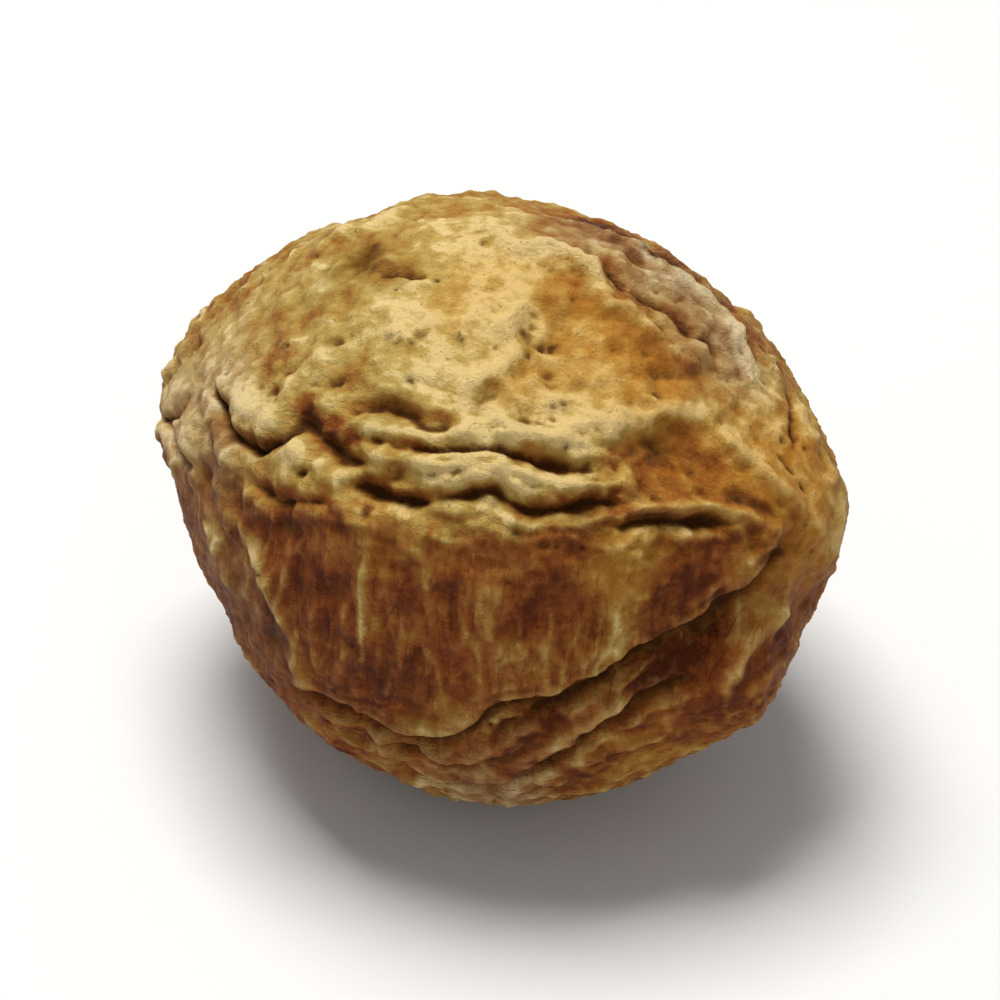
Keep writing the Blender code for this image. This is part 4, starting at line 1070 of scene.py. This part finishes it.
class Nodes:
    """Short ways to make the nodes of one material."""

    def __init__(self, material):
        material.use_nodes = True
        self.tree = material.node_tree
        self.shader = self.tree.nodes["Principled BSDF"]

    def make(self, kind, **values):
        node = self.tree.nodes.new(kind)
        for name, value in values.items():
            setattr(node, name, value)
        return node

    def join(self, start, end):
        self.tree.links.new(start, end)

    def attribute(self, name):
        return self.make("ShaderNodeAttribute", attribute_name=name).outputs["Fac"]

    def noise(self, size, detail, rough, stretch, shift):
        """Noise with features of that size in metres, from 0 to 1."""
        place = self.make("ShaderNodeMapping")
        place.inputs["Scale"].default_value = stretch
        place.inputs["Location"].default_value = (shift, shift, shift)
        self.join(self.make("ShaderNodeTexCoord").outputs["Object"], place.inputs["Vector"])
        texture = self.make("ShaderNodeTexNoise")
        texture.inputs["Scale"].default_value = 1 / size
        texture.inputs["Detail"].default_value = detail
        texture.inputs["Roughness"].default_value = rough
        self.join(place.outputs["Vector"], texture.inputs["Vector"])
        return texture.outputs["Fac"]

    def math(self, operation, first, second=0.0):
        node = self.make("ShaderNodeMath", operation=operation, use_clamp=True)
        for socket, value in zip(node.inputs, (first, second)):
            if isinstance(value, (int, float)):
                socket.default_value = value
            else:
                self.join(value, socket)
        return node.outputs[0]

    def times(self, value, factor):
        return self.math("MULTIPLY", value, factor)

    def spread(self, value, strength):
        """A noise made stronger and moved to lie around 0. It may be negative."""
        node = self.make("ShaderNodeMath", operation="MULTIPLY_ADD")
        self.join(value, node.inputs[0])
        node.inputs[1].default_value = strength
        node.inputs[2].default_value = -0.5 * strength
        return node.outputs[0]

    def between(self, value, low, high):
        """0 where the value is below low, 1 above high."""
        node = self.make("ShaderNodeMapRange", interpolation_type="SMOOTHSTEP")
        node.inputs["From Min"].default_value = low
        node.inputs["From Max"].default_value = high
        self.join(value, node.inputs["Value"])
        return node.outputs["Result"]

    def near_middle(self, noise, reach):
        """1 along the thin lines where a noise is at its middle, falling to 0 within that reach."""
        off = self.math("ABSOLUTE", self.spread(noise, 1.0))
        return self.math("SUBTRACT", 1.0, self.between(off, 0.0, reach))

    def blend(self, share, first, second):
        """The first value where the share is 0, and the second where it is 1."""
        node = self.make("ShaderNodeMix", data_type="FLOAT")
        for socket, value in zip(node.inputs[:1] + node.inputs[2:4], (share, first, second)):
            self.join(value, socket)
        return node.outputs[0]

    def colours(self, value, stops):
        """A colour that runs through the stops, each (place, colour), as the value goes from 0 to 1."""
        node = self.make("ShaderNodeValToRGB")
        ramp = node.color_ramp
        while len(ramp.elements) < len(stops):
            ramp.elements.new(0.5)
        for element, (place, colour) in zip(ramp.elements, stops):
            element.position = place
            element.color = (*colour, 1)
        self.join(value, node.inputs["Fac"])
        return node.outputs["Color"]

    def over(self, below, share, colour, strength):
        """The colour laid over the one below: that share of it, times that strength."""
        node = self.make("ShaderNodeMix", data_type="RGBA")
        self.join(self.times(share, strength), node.inputs[0])
        self.join(below, node.inputs[6])
        if isinstance(colour, tuple):
            node.inputs[7].default_value = (*colour, 1)
        else:
            self.join(colour, node.inputs[7])
        return node.outputs[2]


def skin_shade(n, mid, fine, streaks, grit, crinkles):
    """How dark or pale the skin is, from 0 to 1: its paleness, made uneven, with painted light and shade."""
    # The grit is the bump's height too, so here it paints light on the bump's tops and shade in its dips
    uneven = n.times(grit, GRIT_SHARE)
    for value, share in ((fine, FINE_SHARE), (streaks, STREAK_NOISE_SHARE), (mid, MID_SHARE)):
        uneven = n.math("ADD", uneven, n.times(value, share))
    shade = n.math("ADD", n.attribute("pale"), n.spread(uneven, NOISE_STRENGTH))
    shade = n.math("ADD", shade, n.times(n.attribute("raised_painted_light"), RAISED_PAINTED_LIGHT))
    shade = n.math("SUBTRACT", shade, n.times(n.attribute("sunk_painted_shade"), SUNK_PAINTED_SHADE))
    return n.math("SUBTRACT", shade, n.times(crinkles, CRINKLE_PAINTED_SHADE))


def skin_colour(n, shade, mid):
    colour = n.colours(shade, PLAIN)
    for name, stops in HUES.items():
        colour = n.over(colour, n.attribute(name), n.colours(shade, stops), HUE_STRENGTH)
    # Painted light on the raised crests, then painted shade in the sunk skin and the pin holes
    painted_light_crests = n.math("MULTIPLY", n.attribute("raised_painted_light"), n.between(mid, *CRESTS_OF_MID))
    colour = n.over(colour, painted_light_crests, *CREST_PAINTED_LIGHT)
    colour = n.over(colour, n.between(n.attribute("sunk_painted_shade"), *FURROW_FROM), *FURROW_PAINTED_SHADE)
    colour = n.over(colour, n.between(n.attribute("sunk_painted_shade"), *DEEP_FURROW_FROM), *DEEP_FURROW_PAINTED_SHADE)
    colour = n.over(colour, n.attribute("hole"), *PIN_HOLE_PAINTED_SHADE)
    return n.over(colour, n.between(n.noise(*SPECKS), *SPECKS_FROM), *SPECK)


def skin_material():
    material = bpy.data.materials.new("dried skin")
    n = Nodes(material)
    mid, fine, streaks, grit = (n.noise(*values) for values in (MID, FINE, STREAKS, GRIT))
    lengthwise, crosswise = (
        n.near_middle(n.noise(*values), CRINKLE_WIDTH) for values in (LENGTHWISE, CROSSWISE)
    )
    crinkles = n.blend(n.attribute("front"), lengthwise, crosswise)
    crinkles = n.math("MULTIPLY", crinkles, n.attribute("wrinkled"))
    shade = skin_shade(n, mid, fine, streaks, grit, crinkles)
    n.join(skin_colour(n, shade, mid), n.shader.inputs["Base Color"])
    roughness = n.math("ADD", n.times(fine, ROUGHNESS_NOISE), ROUGHNESS)
    n.join(roughness, n.shader.inputs["Roughness"])
    n.shader.inputs["Specular IOR Level"].default_value = SPECULAR
    bump = n.make("ShaderNodeBump")
    bump.inputs["Strength"].default_value = 1.0
    bump.inputs["Distance"].default_value = BUMP_HEIGHT
    height = n.math("SUBTRACT", grit, n.times(crinkles, BUMP_CRINKLES))
    n.join(height, bump.inputs["Height"])
    n.join(bump.outputs["Normal"], n.shader.inputs["Normal"])
    return material


def make_fruit():
    mesh = simplified(wrinkled_mesh(), TRIANGLES)
    middle = rest_on_flat(mesh)
    mesh.shade_smooth()
    mesh.materials.append(skin_material())
    fruit = new_object("fruit_skin", mesh)
    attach(fruit, "root")
    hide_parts(NODE)
    return middle


def make_floor():
    material = bpy.data.materials.new("pale floor")
    material.use_nodes = True
    shader = material.node_tree.nodes["Principled BSDF"]
    shader.inputs["Base Color"].default_value = (*FLOOR_COLOUR, 1)
    shader.inputs["Roughness"].default_value = FLOOR_ROUGHNESS
    bpy.ops.mesh.primitive_plane_add(size=FLOOR_SIZE, location=(0, 0, -FLOOR_DROP))
    floor = bpy.context.object
    floor.name = "floor"
    floor.data.materials.append(material)


def make_lights(middle):
    for name, (place, power, size, colour) in LIGHTS.items():
        lamp = bpy.data.lights.new(name, "AREA")
        lamp.energy, lamp.size, lamp.color = power, size, colour
        light = new_object(name, lamp)
        light.location = middle + Vector(place)
        light.rotation_euler = Vector(place).to_track_quat("Z", "Y").to_euler()
    world = bpy.data.worlds.new("pale room")
    bpy.context.scene.world = world
    world.use_nodes = True
    background = world.node_tree.nodes["Background"]
    background.inputs["Color"].default_value = ROOM_COLOUR
    background.inputs["Strength"].default_value = ROOM_STRENGTH


def make_camera(middle):
    """A long lens whose picture is as wide as VIEW_WIDTH at the middle of the fruit."""
    turn, rise = math.radians(CAMERA_AZIMUTH), math.radians(CAMERA_ELEVATION)
    back = Vector((math.sin(turn) * math.cos(rise), -math.cos(turn) * math.cos(rise), math.sin(rise)))
    camera = new_object("camera", bpy.data.cameras.new("camera"))
    camera.location = middle + back * CAMERA_DISTANCE
    camera.rotation_euler = back.to_track_quat("Z", "Y").to_euler()
    camera.data.sensor_width = SENSOR
    camera.data.lens = SENSOR * CAMERA_DISTANCE / VIEW_WIDTH
    camera.data.shift_x = 0.5 - MIDDLE_ACROSS
    camera.data.shift_y = MIDDLE_DOWN - 0.5
    camera.data.clip_start = NEAREST_SHOWN
    bpy.context.scene.camera = camera


# Without a seed the vector noise would start from the clock, and differ each run
noise.seed_set(SEED)
middle = make_fruit()
make_floor()
make_lights(middle)
make_camera(middle)
bpy.context.scene.view_settings.view_transform = "Standard"
